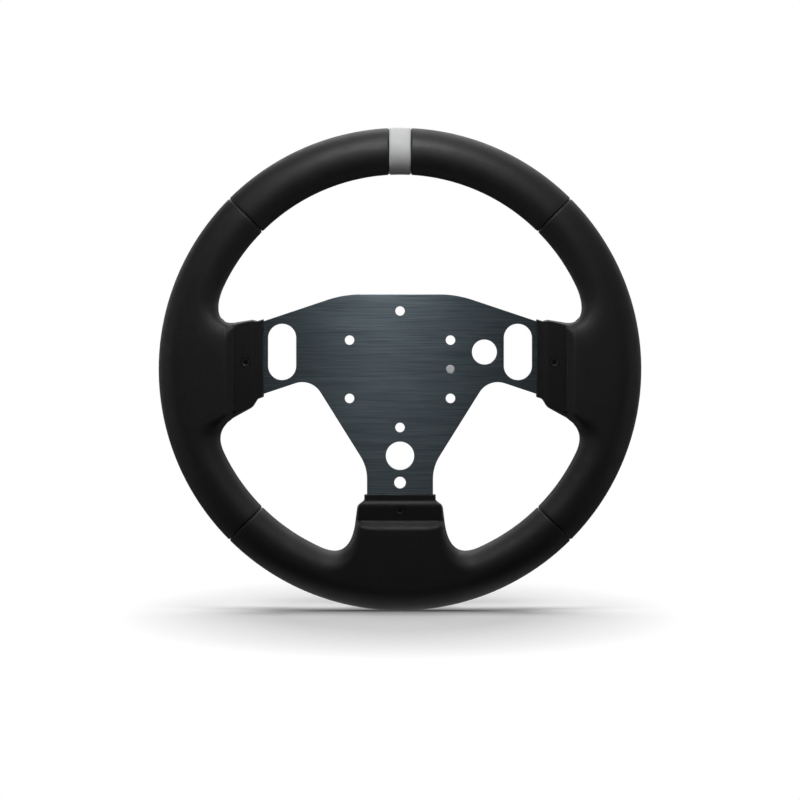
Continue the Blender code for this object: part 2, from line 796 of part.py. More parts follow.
def make_foam(material):
    skin = Skin(LEATHER + FIT_GAP)
    skin.boss(RIGHT, RIGHT_LOWER_SEAM, RIGHT_UPPER_SEAM, whole=True)
    skin.plain(RIGHT_UPPER_SEAM, BAND_RIGHT_SEAM, whole=True)
    skin.plain(BAND_RIGHT_SEAM, BAND_LEFT_SEAM, whole=True)
    skin.plain(BAND_LEFT_SEAM, LEFT_UPPER_SEAM, whole=True)
    skin.boss(LEFT, LEFT_UPPER_SEAM, LEFT_LOWER_SEAM, whole=True)
    skin.boss(BOTTOM, LEFT_LOWER_SEAM, RIGHT_LOWER_SEAM, whole=True)
    foam = skin.finish("foam_grip", material)
    cut(foam, torus("hoop_channel", HOOP_WIRE + 2 * FIT_GAP))
    clear_span = BRACKET_SECTOR + math.degrees(2 * FIT_GAP / BRACKET_START)
    for spoke in SPOKES:
        cut(foam, sector(f"strap_pocket_{spoke.name}", pocket_profile(), spoke.angle, clear_span))
        name = f"tongue_slot_{spoke.name}"
        cut(foam, tongue_prism(name, spoke, spoke.lip_start, TONGUE_END + FIT_GAP, FIT_GAP))


# Moulded covers with their screws and inserts


def cover_rows(spoke):
    """Sections along a cover, as (distance out, half width on each side, level, rounding)."""

    def width(sign, out, margin):
        return spoke.plate_edge(sign, out) + margin

    start = spoke.lip_start
    lip_full = start + LIP_EDGE
    lip_end = start + LIP_LENGTH
    terrace = lip_end + BEVEL_LENGTH
    end = spoke.end - FIT_GAP / 2
    stations = (
        (start, "lip", -LIP_EDGE, LIP_LEVEL - LIP_EDGE, LIP_ROUND),
        (lip_full, "lip", 0, LIP_LEVEL, LIP_ROUND),
        (lip_end, "lip", 0, LIP_LEVEL, LIP_ROUND),
        (terrace, "shoulder", 0, TERRACE_LEVEL, COVER_ROUND),
        (end, "boss", 0, TERRACE_LEVEL, BOSS_ROUND),
    )
    rows = []
    for out, margin, extra, level, edge_round in stations:
        widths = {sign: width(sign, out, getattr(spoke.edges[sign], margin) + extra) for sign in (-1, 1)}
        rows.append((out, widths, level, edge_round))
    return rows


def make_cover(name, spoke, facing, material):
    """One half of a collar: the front half faces -Y (facing 1) and the rear half +Y (facing -1)."""
    bm = bmesh.new()
    parting = FIT_GAP / 2
    rows = []
    for out, widths, level, edge_round in cover_rows(spoke):
        profile = rounding(edge_round, level - parting, 0, COVER_STEPS)
        section = [(widths[-1] - inward, -1, rise) for inward, rise in profile]
        section += [(widths[1] - inward, 1, rise) for inward, rise in reversed(profile)]
        row = []
        for half, sign, rise in section:
            row.append(bm.verts.new(raised(spoke.plan(out, sign * half), parting + rise)))
        rows.append(row)
    for inner, outer in zip(rows, rows[1:]):
        for k in range(len(inner) - 1):
            bm.faces.new((inner[k], outer[k], outer[k + 1], inner[k + 1]))
    bm.faces.new(rows[0])
    bm.faces.new(rows[-1][::-1])
    bm.faces.new([row[0] for row in rows[::-1]] + [row[-1] for row in rows])
    bmesh.ops.scale(bm, vec=(1, facing, 1), verts=bm.verts)
    bmesh.ops.recalc_face_normals(bm, faces=bm.faces)
    cover = add_mesh(name, bm, material)
    cover.location = (0, MIDDLE_Y, 0)
    past = spoke.end + LEATHER_RISE
    before = spoke.lip_start - LIP_LENGTH
    cut(cover, tongue_prism(f"tongue_way_{name}", spoke, before, past, FIT_GAP))
    return cover


HEAD_SEAT = HALF_PLATE + FIT_GAP + SCREW_FLOOR  # level on which a screw's head rests
INSERT_MOUTH = -HALF_PLATE - FIT_GAP  # level at which an insert starts, behind the plate


def screw_way():
    """The stepped and chamfered hole in a front cover, as levels over the middle plane."""
    wide = SCREW_HEAD / 2 + FIT_GAP
    narrow = SCREW_SHANK / 2 + FIT_GAP
    above = TERRACE_LEVEL + SCREW_LEAD
    return [
        (0, above),
        (wide + 2 * SCREW_LEAD, above),
        (wide, TERRACE_LEVEL - SCREW_LEAD),
        (wide, HEAD_SEAT),
        (narrow, HEAD_SEAT),
        (narrow, 0),
        (0, 0),
    ]


def screw_profile():
    head = HEAD_SEAT + FIT_GAP
    top = head + SCREW_HEAD_HEIGHT
    tip = INSERT_MOUTH - INSERT_LENGTH
    return [
        (0, top - SCREW_SOCKET_DEPTH),
        (SCREW_SOCKET / 2, top - SCREW_SOCKET_DEPTH),
        (SCREW_SOCKET / 2, top),
        (SCREW_HEAD / 2, top),
        (SCREW_HEAD / 2, head),
        (SCREW_SHANK / 2, head),
        (SCREW_SHANK / 2, tip),
        (0, tip),
    ]


def insert_profile():
    bore = SCREW_SHANK / 2 + FIT_GAP / 2
    outside = INSERT_DIAMETER / 2
    return [
        (bore, INSERT_MOUTH),
        (outside, INSERT_MOUTH),
        (outside, INSERT_MOUTH - INSERT_LENGTH),
        (bore, INSERT_MOUTH - INSERT_LENGTH),
    ]


def insert_hole():
    radius = INSERT_DIAMETER / 2 + FIT_GAP
    bottom = INSERT_MOUTH - INSERT_LENGTH - FIT_GAP
    return [(0, 0), (radius, 0), (radius, bottom), (0, bottom)]


def make_covers(plastic, steel, brass):
    for spoke in SPOKES:
        place = screw_place(spoke)
        front = make_cover(f"cover_front_{spoke.name}", spoke, 1, plastic)
        rear = make_cover(f"cover_rear_{spoke.name}", spoke, -1, plastic)
        cut(front, turned(f"screw_way_{spoke.name}", screw_way(), place.x, MIDDLE_Y, place.y))
        cut(rear, turned(f"insert_hole_{spoke.name}", insert_hole(), place.x, MIDDLE_Y, place.y))
        turned(f"cover_screw_{spoke.name}", screw_profile(), place.x, MIDDLE_Y, place.y, steel)
        turned(f"cover_insert_{spoke.name}", insert_profile(), place.x, MIDDLE_Y, place.y, brass)


clear_scene()
parts = new_collection("racing_wheel")
cutters = new_collection("cutters")
wheel = bpy.data.objects.new("wheel_origin", None)
parts.objects.link(wheel)

make_plate(make_material("brushed_plate", (0.055, 0.068, 0.080), 0.38, 1.0))
make_pin(make_material("pin_steel", (0.42, 0.42, 0.43), 0.4, 1.0))
make_leather(
    make_material("black_leather", (0.010, 0.010, 0.011), 0.48, 0.0),
    make_material("grey_leather", (0.46, 0.47, 0.50), 0.5, 0.0),
)
make_armature(make_material("armature_steel", (0.30, 0.30, 0.31), 0.45, 1.0))
make_foam(make_material("grip_foam", (0.03, 0.03, 0.03), 0.9, 0.0))
make_covers(
    make_material("moulded_plastic", (0.012, 0.012, 0.013), 0.45, 0.0),
    make_material("black_screw", (0.02, 0.02, 0.02), 0.4, 1.0),
    make_material("insert_brass", (0.55, 0.40, 0.16), 0.35, 1.0),
)
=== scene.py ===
"""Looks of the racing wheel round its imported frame: stitched leather, moulded covers, brushed plate, studio.

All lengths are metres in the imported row's frame: the wheel's axis lies along Y, with the driver on the -Y
side, +X to the driver's right and +Z up. Plan points are (x, z) pairs as the driver sees them. Levels are
heights in front of the wheel's middle plane.
"""

import math
from dataclasses import dataclass

import bmesh
import bpy
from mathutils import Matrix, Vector


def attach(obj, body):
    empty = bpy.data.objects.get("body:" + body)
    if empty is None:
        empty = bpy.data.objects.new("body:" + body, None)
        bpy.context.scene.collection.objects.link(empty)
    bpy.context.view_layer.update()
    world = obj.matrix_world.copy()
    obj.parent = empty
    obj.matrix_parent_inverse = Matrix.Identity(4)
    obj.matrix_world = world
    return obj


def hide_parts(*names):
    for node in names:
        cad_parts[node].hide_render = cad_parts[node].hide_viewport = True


BODY = "root"

# Rim grip, as in the solids
FIT_GAP = 0.0003
RIM_DIAMETER = 0.290
RIM_WIDTH = 0.0281
RIM_DEPTH = 0.030
CREST_FLAT = 0.0006
LEATHER = 0.0012
SEAM_ANGLES = (45.0, 135.0, 225.0, 315.0)
BAND_WIDTH = 0.0130

# Edges of the leather, finer than in the solids
SEAM_GAP = 0.00006
SEAM_TUCK = 0.0010
SEAM_ROUND = 0.0013
LEATHER_PROUD = 0.0001
LEATHER_ROLL = 0.00025  # radius of the edge beside a cover
JOINT_GAP = 0.00006  # between the leather and a cover

# Spoke plate, as in the solids
PLATE_THICKNESS = 0.004
PLATE_TOP = 0.045
PLATE_SHOULDER = 0.0336
SHOULDER_RADIUS = 0.065
ARM_SLOPE = 18.5
CROTCH_X = 0.0532
CROTCH_Z = -0.0052
CROTCH_RADIUS = 0.013
FOOT_HALF_WIDTH = 0.0198
FOOT_BEND_Z = -0.0586
FOOT_BEND_RADIUS = 0.026
TONGUE_END = 0.12195
TONGUE_RADIUS = 0.003
EDGE_BREAK = 0.00025  # taken off the plate's edges after cutting, here only

# Holes in the plate, as in the solids: a port is (x, z, diameter)
BOLT_CIRCLE = 0.070
BOLT_HOLE = 0.0057
BOLT_ANGLES = range(30, 360, 60)
PIN_X = 0.0302
PIN_DIAMETER = 0.0052
PIN_STANDS_OUT = 0.003
PIN_CLEAR = 0.00004  # the pin is pressed into its hole, here only
PORTS = ((0.0507, 0.01035, 0.0150), (0.0, -0.0520, 0.0170), (0.0, -0.0681, 0.0070))
SLOT_X = 0.0708
SLOT_Z = 0.0104
SLOT_WIDTH = 0.0169
SLOT_LENGTH = 0.0338
RIVET_HOLE = 0.0046
RIVET_OUT = 0.11295
RIVET_SPACING = 0.016

# Side and bottom spokes, as in the solids
SIDE = {"reach": 0.0175, "terrace": 0.0110, "screw_setback": 0.0071}
FOOT = {"reach": 0.0264, "terrace": 0.0088, "screw_setback": 0.0059}
LEATHER_RISE = 0.0064

# Soft forms of the bosses, other than in the solids
BOSS_ROUND = 0.0036
CROWN_START = 0.3  # place along the flare where the boss's crown starts to spread
SLOPE_FOOT = 0.15  # share of the slope that is rounded at its foot
SLOPE_BROW = 0.50
FOOT_BOW = 0.3  # how much shorter the bottom slope is at its ends
BOW_POWER = 8
LEAST_SLANT = 0.5  # of a section that meets the edge at a slant

# Moulded covers, as in the solids
LIP_LENGTH = 0.0034
BEVEL_LENGTH = 0.0030  # in plan
TERRACE_HEIGHT = 0.0088

# Small forms of the mouldings, finer than in the solids
LIP_HEIGHT = 0.0075
LIP_EDGE = 0.0003
LIP_ROUND = 0.0008
BEVEL_RUN = 0.0027  # in the top surface
COVER_ROUND = 0.0013
VALLEY_RADIUS = 0.0030  # where the bevel leaves the lip
BROW_RADIUS = 0.0055  # where it meets the terrace
NECK_RADIUS = 0.0018  # between lip and bevel in plan
CORNER_RADIUS = 0.0040  # between bevel and terrace in plan
TERRACE_FALL = 0.0003  # towards the leather
END_EDGE = 0.00015  # round edge beside the leather

# Cover screws, as in the solids
SIDE_SCREW_Z = 0.0039
SCREW_SHANK = 0.0030
SCREW_HEAD = 0.0055
SCREW_SOCKET = 0.0027  # across the flats
SCREW_FLOOR = 0.0047
SCREW_TIP = -0.0063

# Small forms of the screws, other than in the solids
SCREW_HEAD_HEIGHT = 0.0032
SCREW_SOCKET_DEPTH = 0.0030
SCREW_CLEAR = 0.0001  # round the head
SCREW_LEAD = 0.0002
HEAD_BREAK = 0.0003

# Closing seam of the leather, behind the rim's inner line
STITCH_TURN = 34.0  # degrees round the section
GROOVE_TURN = 3.0
GROOVE_DEPTH = 0.0005
STITCH_PITCH = 0.0046
STITCH_HALF_WIDTH = 0.0011
STITCH_CLEAR = 0.0022  # from the end of a piece of leather
STITCH_PATH = ((-1.0, -0.0004), (-0.85, 0.0002), (0.0, 0.0003), (0.85, 0.0002))  # (place across, lift)
THREAD_RADIUS = 0.00032

# Mesh density
GRIP_STEPS = 16  # in a quarter turn of the grip's section
GROOVE_SPREAD = (-6.0, -4.0, -2.6, -1.3, 0.0, 1.3, 2.6, 4.0, 6.0)  # turns beside the closing seam
TURN_GAP = 2.0  # least turn from these to the section's even ones
CREST_COLUMNS = 4
RING_STEP = 1.5
SEAM_STATIONS = (0.0, 0.04, 0.12, 0.25, 0.45, 0.7, 1.0)
FLARE_STEPS = 30
SEARCH_STEP = 0.01  # of a flare's parameter
SEARCH_HALVINGS = 20
BOSS_STEPS = 14
BOSS_COLUMNS = 16
ROLL_STEPS = 4
COVER_STEPS = 10
TERRACE_STEPS = 8
PLACE_DIGITS = 6  # to which a cover's sections are told apart
FILLET_STEP = 4.0
HOLE_STEP = 5.0
OUTLINE_STEP = 3.0
TURNED_STEPS = 48
SHARP_ANGLE = 32.0
WELD = 0.0000001

# Values that follow
OUTER_RADIUS = RIM_DIAMETER / 2
INNER_RADIUS = OUTER_RADIUS - RIM_WIDTH
HOOP_RADIUS = OUTER_RADIUS - RIM_WIDTH / 2
GRIP_ROUND = (RIM_WIDTH - CREST_FLAT) / 2
HALF_DEPTH = RIM_DEPTH / 2
HALF_PLATE = PLATE_THICKNESS / 2
MIDDLE_Y = -HALF_PLATE
ARM_FALL = math.tan(math.radians(ARM_SLOPE))
LIP_LEVEL = HALF_PLATE + LIP_HEIGHT
TERRACE_LEVEL = HALF_PLATE + TERRACE_HEIGHT
LEATHER_LEVEL = TERRACE_LEVEL - TERRACE_FALL + LEATHER_PROUD
HEAD_SEAT = HALF_PLATE + FIT_GAP + SCREW_FLOOR
FLOOR_Z = -OUTER_RADIUS


def quarter(steps):
    """Turns in degrees from 0 to 90, in even steps."""
    return [90 * k / steps for k in range(steps + 1)]


def section_turns():
    """Turns from the rim's inner line to its crest, closer together beside the closing seam."""
    spread = [STITCH_TURN + turn for turn in GROOVE_SPREAD]
    apart = [turn for turn in OUTER_TURNS if min(abs(turn - near) for near in spread) > TURN_GAP]
    return sorted(spread + apart)


OUTER_TURNS = quarter(GRIP_STEPS)
INNER_TURNS = section_turns()
TOP = len(INNER_TURNS) - 1  # place of the crest in a section
SEAM = INNER_TURNS.index(STITCH_TURN)
LANE = slice(SEAM - 1, SEAM + 2)  # the closing seam in a section
GROOVES = [GROOVE_DEPTH * math.exp(-(((turn - STITCH_TURN) / GROOVE_TURN) ** 2)) for turn in INNER_TURNS]


@dataclass
class SpokeEdge:
    """One long edge of a spoke: margins beside the plate's edge, then a flare into the rim.

    The crown is the width of the rounding at the boss's root. With a fall over 1 it is steeper at the edge
    and has a longer tail.
    """

    lip: float
    shoulder: float
    boss: float
    lead: float
    leave: float
    boss_pull: float
    rim_pull: float
    crown: float = 0.0046
    fall: float = 1.0


UPPER_EDGE = SpokeEdge(
    lip=0.0013, shoulder=0.0031, boss=0.0050, lead=-6.6, leave=25.4, boss_pull=0.0128, rim_pull=0.0107,
    crown=0.0160, fall=2.1,
)
LOWER_EDGE = SpokeEdge(
    lip=0.0019, shoulder=0.0058, boss=0.0082, lead=32.0, leave=25.4, boss_pull=0.0103, rim_pull=0.0098
)
FOOT_EDGE = SpokeEdge(
    lip=0.0017, shoulder=0.0058, boss=0.0069, lead=6.3, leave=26.4, boss_pull=0.0266, rim_pull=0.0080
)


def polar(radius, degrees):
    turn = math.radians(degrees)
    return Vector((radius * math.cos(turn), radius * math.sin(turn)))


def arm_top(x):
    return PLATE_TOP - (x - PLATE_SHOULDER) * ARM_FALL


def arm_bottom(x):
    return CROTCH_Z - (x - CROTCH_X) * ARM_FALL


@dataclass
class Spoke:
    """A spoke in its own plan frame: outwards along its axis, and across as the angle grows.

    Its edges are kept by their sign across.
    """

    name: str
    angle: float
    edges: dict
    reach: float
    terrace: float
    screw_setback: float
    screw_across: float = 0.0
    bow: float = 0.0

    @property
    def end(self):
        """Distance from the hub at which the cover stops and the leather starts."""
        return INNER_RADIUS - self.reach

    @property
    def lip_start(self):
        return self.end - self.terrace - BEVEL_LENGTH - LIP_LENGTH

    @property
    def screw_place(self):
        return self.plan(self.end - self.screw_setback, self.screw_across)

    def plate_edge(self, sign, out):
        """How far the plate reaches to this side of the spoke's axis."""
        edge = self.edges[sign]
        if edge is FOOT_EDGE:
            return FOOT_HALF_WIDTH
        if edge is UPPER_EDGE:
            return arm_top(out)
        return -arm_bottom(out)

    def plan(self, out, across):
        return polar(out, self.angle) + polar(across, self.angle + 90)


RIGHT = Spoke("right", 0.0, edges={-1: LOWER_EDGE, 1: UPPER_EDGE}, screw_across=SIDE_SCREW_Z, **SIDE)
LEFT = Spoke("left", 180.0, edges={-1: UPPER_EDGE, 1: LOWER_EDGE}, screw_across=-SIDE_SCREW_Z, **SIDE)
BOTTOM = Spoke("bottom", 270.0, edges={-1: FOOT_EDGE, 1: FOOT_EDGE}, bow=FOOT_BOW, **FOOT)
SPOKES = (RIGHT, LEFT, BOTTOM)


# Materials

WHITE = (1.0, 1.0, 1.0, 1.0)
NOISE_LOW = 0.3  # a noise mostly lies between these
NOISE_HIGH = 0.7

# Leathers: dark tone, light tone, roughness and specular level
LEATHERS = {
    "black_leather": ((0.0028, 0.0028, 0.0030), (0.0046, 0.0046, 0.0048), 0.57, 0.5),
    "grey_leather": ((0.392, 0.394, 0.401), (0.453, 0.455, 0.462), 0.55, 0.4),
}

# Metals: dark tone, light tone, roughness, scratches in a metre and share of metal
METALS = {
    "black_screw": ((0.055, 0.055, 0.057), (0.085, 0.085, 0.088), 0.46, 2500, 1.0),
    "pin_steel": ((0.80, 0.80, 0.81), (0.90, 0.90, 0.91), 0.62, 1800, 0.35),
    "armature_steel": ((0.24, 0.24, 0.25), (0.36, 0.36, 0.37), 0.45, 900, 1.0),
    "insert_brass": ((0.48, 0.34, 0.13), (0.62, 0.46, 0.20), 0.36, 1500, 1.0),
}


class Nodes:
    """A node tree, with short calls for new nodes."""

    def __init__(self, tree):
        self.tree = tree

    def fill(self, node, *values, **named):
        """Sets or links a node's inputs, in their order or by name."""
        pairs = list(zip(node.inputs, values))
        pairs += [(node.inputs[key.replace("_", " ")], value) for key, value in named.items()]
        for socket, value in pairs:
            if isinstance(value, bpy.types.NodeSocket):
                self.tree.links.new(value, socket)
            else:
                socket.default_value = value
        return node

    def node(self, kind, *values, settings=None, **named):
        """A new node with these inputs."""
        made = self.tree.nodes.new(kind)
        for key, value in (settings or {}).items():
            setattr(made, key, value)
        return self.fill(made, *values, **named)

    def result(self, kind, *values, **named):
        """The first output of a new node."""
        return self.node(kind, *values, **named).outputs[0]

    def maths(self, operation, first, second=0.0):
        return self.result("ShaderNodeMath", first, second, settings={"operation": operation})

    def length(self, place):
        return self.node("ShaderNodeVectorMath", place, settings={"operation": "LENGTH"}).outputs["Value"]

    def ramp(self, source, low, high, first=NOISE_LOW, last=NOISE_HIGH):
        """A number or a colour that goes from low to high while the source goes from first to last."""
        if not isinstance(low, tuple):
            return self.result("ShaderNodeMapRange", source, first, last, low, high)
        made = self.node("ShaderNodeValToRGB", source)
        for element, place, colour in zip(made.color_ramp.elements, (first, last), (low, high)):
            element.position = place
            element.color = (*colour, 1.0)
        return made.outputs["Color"]

    def shows_white(self, share):
        """1 on rays from the camera, and this share on rays from metal and glass."""
        rays = self.node("ShaderNodeLightPath").outputs
        gloss = self.maths("MAXIMUM", rays["Is Glossy Ray"], rays["Is Transmission Ray"])
        return self.maths("MAXIMUM", rays["Is Camera Ray"], self.maths("MULTIPLY", gloss, share))


class Shade(Nodes):
    """A node material round one Principled shader."""

    def __init__(self, name, **constants):
        self.material = bpy.data.materials.new(name)
        self.material.use_nodes = True
        super().__init__(self.material.node_tree)
        self.shader = self.tree.nodes["Principled BSDF"]
        self.place = self.node("ShaderNodeTexCoord").outputs["Object"]
        self.feed(**constants)

    def feed(self, **inputs):
        """Sets or links inputs of the shader, and returns the material."""
        self.fill(self.shader, **inputs)
        return self.material

    def stretched(self, x, y, z):
        """The surface's place in metres, multiplied along each axis."""
        return self.result("ShaderNodeMapping", self.place, Scale=(x, y, z))

    def noise(self, scale=1.0, detail=3.0, roughness=0.55, place=None):
        """Noise with this many features in a metre, or in a unit of another place."""
        place = place or self.place
        return self.result("ShaderNodeTexNoise", place, Scale=scale, Detail=detail, Roughness=roughness)

    def cells(self, scale, feature):
        return self.result("ShaderNodeTexVoronoi", self.place, settings={"feature": feature}, Scale=scale)

    def bump(self, height, distance, strength, **below):
        """A bump whose height of 1 stands for the distance in metres, over another one given as Normal."""
        return self.result("ShaderNodeBump", Height=height, Distance=distance, Strength=strength, **below)


def leather_material(name):
    """Fine pebbled leather: creases between rounded cells, pores, a soft mottle and uneven gloss."""
    dark, light, rough, specular = LEATHERS[name]
    shade = Shade(name, Specular_IOR_Level=specular, Sheen_Weight=0.04, Sheen_Roughness=0.4)
    pebbles = shade.ramp(shade.cells(1050, "DISTANCE_TO_EDGE"), 0.0, 1.0, first=0.0, last=0.35)
    grain = shade.bump(pebbles, distance=0.000035, strength=0.6)
    pores = shade.noise(scale=5200, detail=2.0)
    mottle = shade.noise(scale=55, detail=4.0, roughness=0.6)
    worn = shade.noise(scale=130)
    return shade.feed(
        Base_Color=shade.ramp(mottle, dark, light),
        Roughness=shade.ramp(worn, rough - 0.05, rough + 0.05),
        Normal=shade.bump(pores, distance=0.00002, strength=0.5, Normal=grain),
    )


def plate_material():
    """Dark anodised metal brushed along X: long fine scratches in colour, gloss and relief."""
    shade = Shade("brushed_plate", Metallic=1.0, Anisotropic=0.82, Anisotropic_Rotation=0.25)
    fine = shade.noise(place=shade.stretched(44, 60, 3600), roughness=0.6)
    long = shade.noise(place=shade.stretched(17, 40, 1500), detail=4.0, roughness=0.65)
    cloud = shade.noise(place=shade.stretched(7, 7, 20), detail=2.0)
    streaks = shade.maths("MULTIPLY", shade.maths("ADD", fine, long), 0.5)
    cloud_share = 0.15
    shift = shade.maths("MULTIPLY", shade.maths("SUBTRACT", cloud, 0.5), cloud_share)
    toned = shade.maths("ADD", streaks, shift)
    return shade.feed(
        Base_Color=shade.ramp(toned, (0.061, 0.078, 0.091), (0.139, 0.171, 0.192), first=0.34, last=0.68),
        Roughness=shade.ramp(long, 0.32, 0.40),
        Normal=shade.bump(streaks, distance=0.00002, strength=0.35),
    )


def plastic_material():
    """Moulded black plastic with a fine spark-eroded texture."""
    shade = Shade("moulded_plastic", Specular_IOR_Level=0.42)
    grain = shade.noise(scale=3600, detail=2.0)
    mottle = shade.noise(scale=240)
    return shade.feed(
        Base_Color=shade.ramp(mottle, (0.0045, 0.0045, 0.0047), (0.0070, 0.0070, 0.0072)),
        Roughness=shade.ramp(grain, 0.42, 0.54),
        Normal=shade.bump(grain, distance=0.00003, strength=0.4),
    )


def metal_material(name):
    """Plain metal with fine random scratches and a slight cloud of tone."""
    dark, light, rough, scratch, metallic = METALS[name]
    shade = Shade(name, Metallic=metallic)
    marks = shade.noise(place=shade.stretched(scratch, scratch, scratch / 8))
    cloud = shade.noise(scale=160)
    return shade.feed(
        Base_Color=shade.ramp(cloud, dark, light),
        Roughness=shade.ramp(marks, rough - 0.06, rough + 0.08),
        Normal=shade.bump(marks, distance=0.00001, strength=0.3),
    )


def thread_material():
    """Twisted polyester thread."""
    shade = Shade("stitch_thread", Specular_IOR_Level=0.3, Sheen_Weight=0.2)
    fibres = shade.noise(scale=6000, detail=2.0)
    return shade.feed(
        Base_Color=shade.ramp(fibres, (0.012, 0.012, 0.013), (0.032, 0.032, 0.034)),
        Roughness=shade.ramp(fibres, 0.5, 0.7),
        Normal=shade.bump(fibres, distance=0.00004, strength=0.5),
    )


def foam_material():
    """Skinned foam, with the small open cells of its surface."""
    shade = Shade("grip_foam", Specular_IOR_Level=0.2)
    cells = shade.cells(2400, "F1")
    return shade.feed(
        Base_Color=shade.ramp(cells, (0.006, 0.006, 0.006), (0.016, 0.016, 0.016), first=0.1, last=0.6),
        Roughness=shade.ramp(cells, 0.8, 0.95, first=0.1, last=0.6),
        Normal=shade.bump(cells, distance=0.00008, strength=0.6),
    )


# Pieces


def placed(name, data):
    """A new object in the scene with this data."""
    obj = bpy.data.objects.new(name, data)
    bpy.context.scene.collection.objects.link(obj)
    return obj


def solid(name, bm):
    """An object from a bmesh, its faces turned outwards. The bmesh is used up."""
    bmesh.ops.recalc_face_normals(bm, faces=bm.faces)
    mesh = bpy.data.meshes.new(name)
    bm.to_mesh(mesh)
    bm.free()
    return placed(name, mesh)


def evaluated(obj):
    """A bmesh of an object's final shape. The object is used up."""
    graph = bpy.context.evaluated_depsgraph_get()
    mesh = bpy.data.meshes.new_from_object(obj.evaluated_get(graph))
    bpy.data.objects.remove(obj)
    bm = bmesh.new()
    bm.from_mesh(mesh)
    bpy.data.meshes.remove(mesh)
    return bm


def add_piece(name, bm, material, slot, *nodes, hard=False):
    """A shown piece in place of these solids. A hard piece has true flats between its edges."""
    obj = solid(name, bm)
    obj.data.materials.append(material)
    obj.data.shade_smooth()
    obj.data.set_sharp_from_angle(angle=math.radians(SHARP_ANGLE))
    if hard:
        modifier = obj.modifiers.new("flats", "WEIGHTED_NORMAL")
        modifier.keep_sharp = True
    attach(obj, BODY)
    if nodes:
        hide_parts(*nodes)


def cut_away(bm, *cutters):
    """The bmesh with each cutter's solid taken out of it. The cutters are used up."""
    blank = solid("blank", bm)
    for tool in cutters:
        modifier = blank.modifiers.new(tool.name, "BOOLEAN")
        modifier.operation = "DIFFERENCE"
        modifier.solver = "EXACT"
        modifier.object = tool
    result = evaluated(blank)
    for tool in cutters:
        bpy.data.objects.remove(tool)
    return result


def curve_solid(curve, lines, closed):
    """A welded bmesh of a curve that follows these lines of points."""
    for line in lines:
        spline = curve.splines.new("POLY")
        spline.points.add(len(line) - 1)
        for point, place in zip(spline.points, line):
            point.co = (*place, 1)
        spline.use_cyclic_u = closed
    bm = evaluated(placed(curve.name + "_path", curve))
    bmesh.ops.remove_doubles(bm, verts=bm.verts, dist=WELD)
    return bm


def raised(plan, level):
    """The point over a plan point at this level."""
    return Vector((plan.x, MIDDLE_Y - level, plan.y))


def between(first, last, count):
    """Points strictly between two, evenly spaced."""
    return [first.lerp(last, k / count) for k in range(1, count)]


def hexagon(half, turn):
    """Radius at this turn of a hexagon with this half width across its flats."""
    return half / math.cos(math.radians((turn + 30) % 60 - 30))


def turned(rings, place):
    """A turned solid on an axis along Y, from (radius, level) rings.

    A radius below 0 makes a hexagon of that half width.
    """
    bm = bmesh.new()
    turns = [360 * k / TURNED_STEPS for k in range(TURNED_STEPS)]
    lines = []
    for radius, level in rings:
        if radius == 0:
            lines.append([bm.verts.new(raised(place, level))] * TURNED_STEPS)
            continue
        reach = [radius if radius > 0 else hexagon(-radius, turn) for turn in turns]
        lines.append([bm.verts.new(raised(place + polar(r, turn), level)) for r, turn in zip(reach, turns)])
    for upper, lower in zip(lines, lines[1:]):
        for k in range(TURNED_STEPS):
            corners = (upper[k - 1], upper[k], lower[k], lower[k - 1])
            bm.faces.new(list(dict.fromkeys(corners)))
    return bm


# Leather


def ellipse(turns, width, height, inset, power=1.0):
    """(distance in from the edge, height) pairs of a quarter ellipse, from the edge up to the crest."""
    arms = [polar(1, turn) for turn in turns]
    return [(inset + (width - inset) * (1 - arm.x) ** power, (height - inset) * arm.y) for arm in arms]


def eased(share):
    """A share from 0 to 1 that starts and stops gently."""
    held = min(1.0, max(0.0, share))
    return held * held * (3 - 2 * held)


def outer_half(direction, inset, shift=0.0):
    """Section points from the crest out to the rim's outer edge, along a plan direction."""
    across = Vector((-direction.y, direction.x)) * shift
    points = []
    for inward, height in reversed(ellipse(OUTER_TURNS, GRIP_ROUND, HALF_DEPTH, inset)):
        along = math.sqrt((OUTER_RADIUS - inward) ** 2 - shift**2)
        points.append(raised(direction * along + across, height))
    return points


def whole_section(inner, outer):
    return inner + between(inner[-1], outer[0], CREST_COLUMNS) + outer


def ring_station(angle, shift, inset):
    """A whole section of the plain ring on the plane at this angle, moved across by the shift."""
    direction = polar(1, angle)
    across = polar(shift, angle + 90)
    inner = []
    for inward, height in ellipse(INNER_TURNS, GRIP_ROUND, HALF_DEPTH, inset):
        along = math.sqrt((INNER_RADIUS + inward) ** 2 - shift**2)
        inner.append(raised(direction * along + across, height))
    return whole_section(inner, outer_half(direction, inset, shift))


def seam_stations(seam, direction, inset):
    """Sections beside a seam, with the leather's edge rolled in, and the angle of the last one."""
    angle, shift = seam
    stations = []
    for share in SEAM_STATIONS:
        move = shift + direction * (SEAM_GAP / 2 + share * SEAM_ROUND)
        tuck = SEAM_TUCK * (1 - math.sqrt(1 - (1 - share) ** 2))
        stations.append(ring_station(angle, move, inset + tuck))
    return stations, angle + math.degrees(move / HOOP_RADIUS)


def ring_stations(first, last, inset):
    """Sections of the plain ring strictly between two angles."""
    count = max(1, round(abs(last - first) / RING_STEP))
    return [ring_station(first + (last - first) * k / count, 0, inset) for k in range(1, count)]


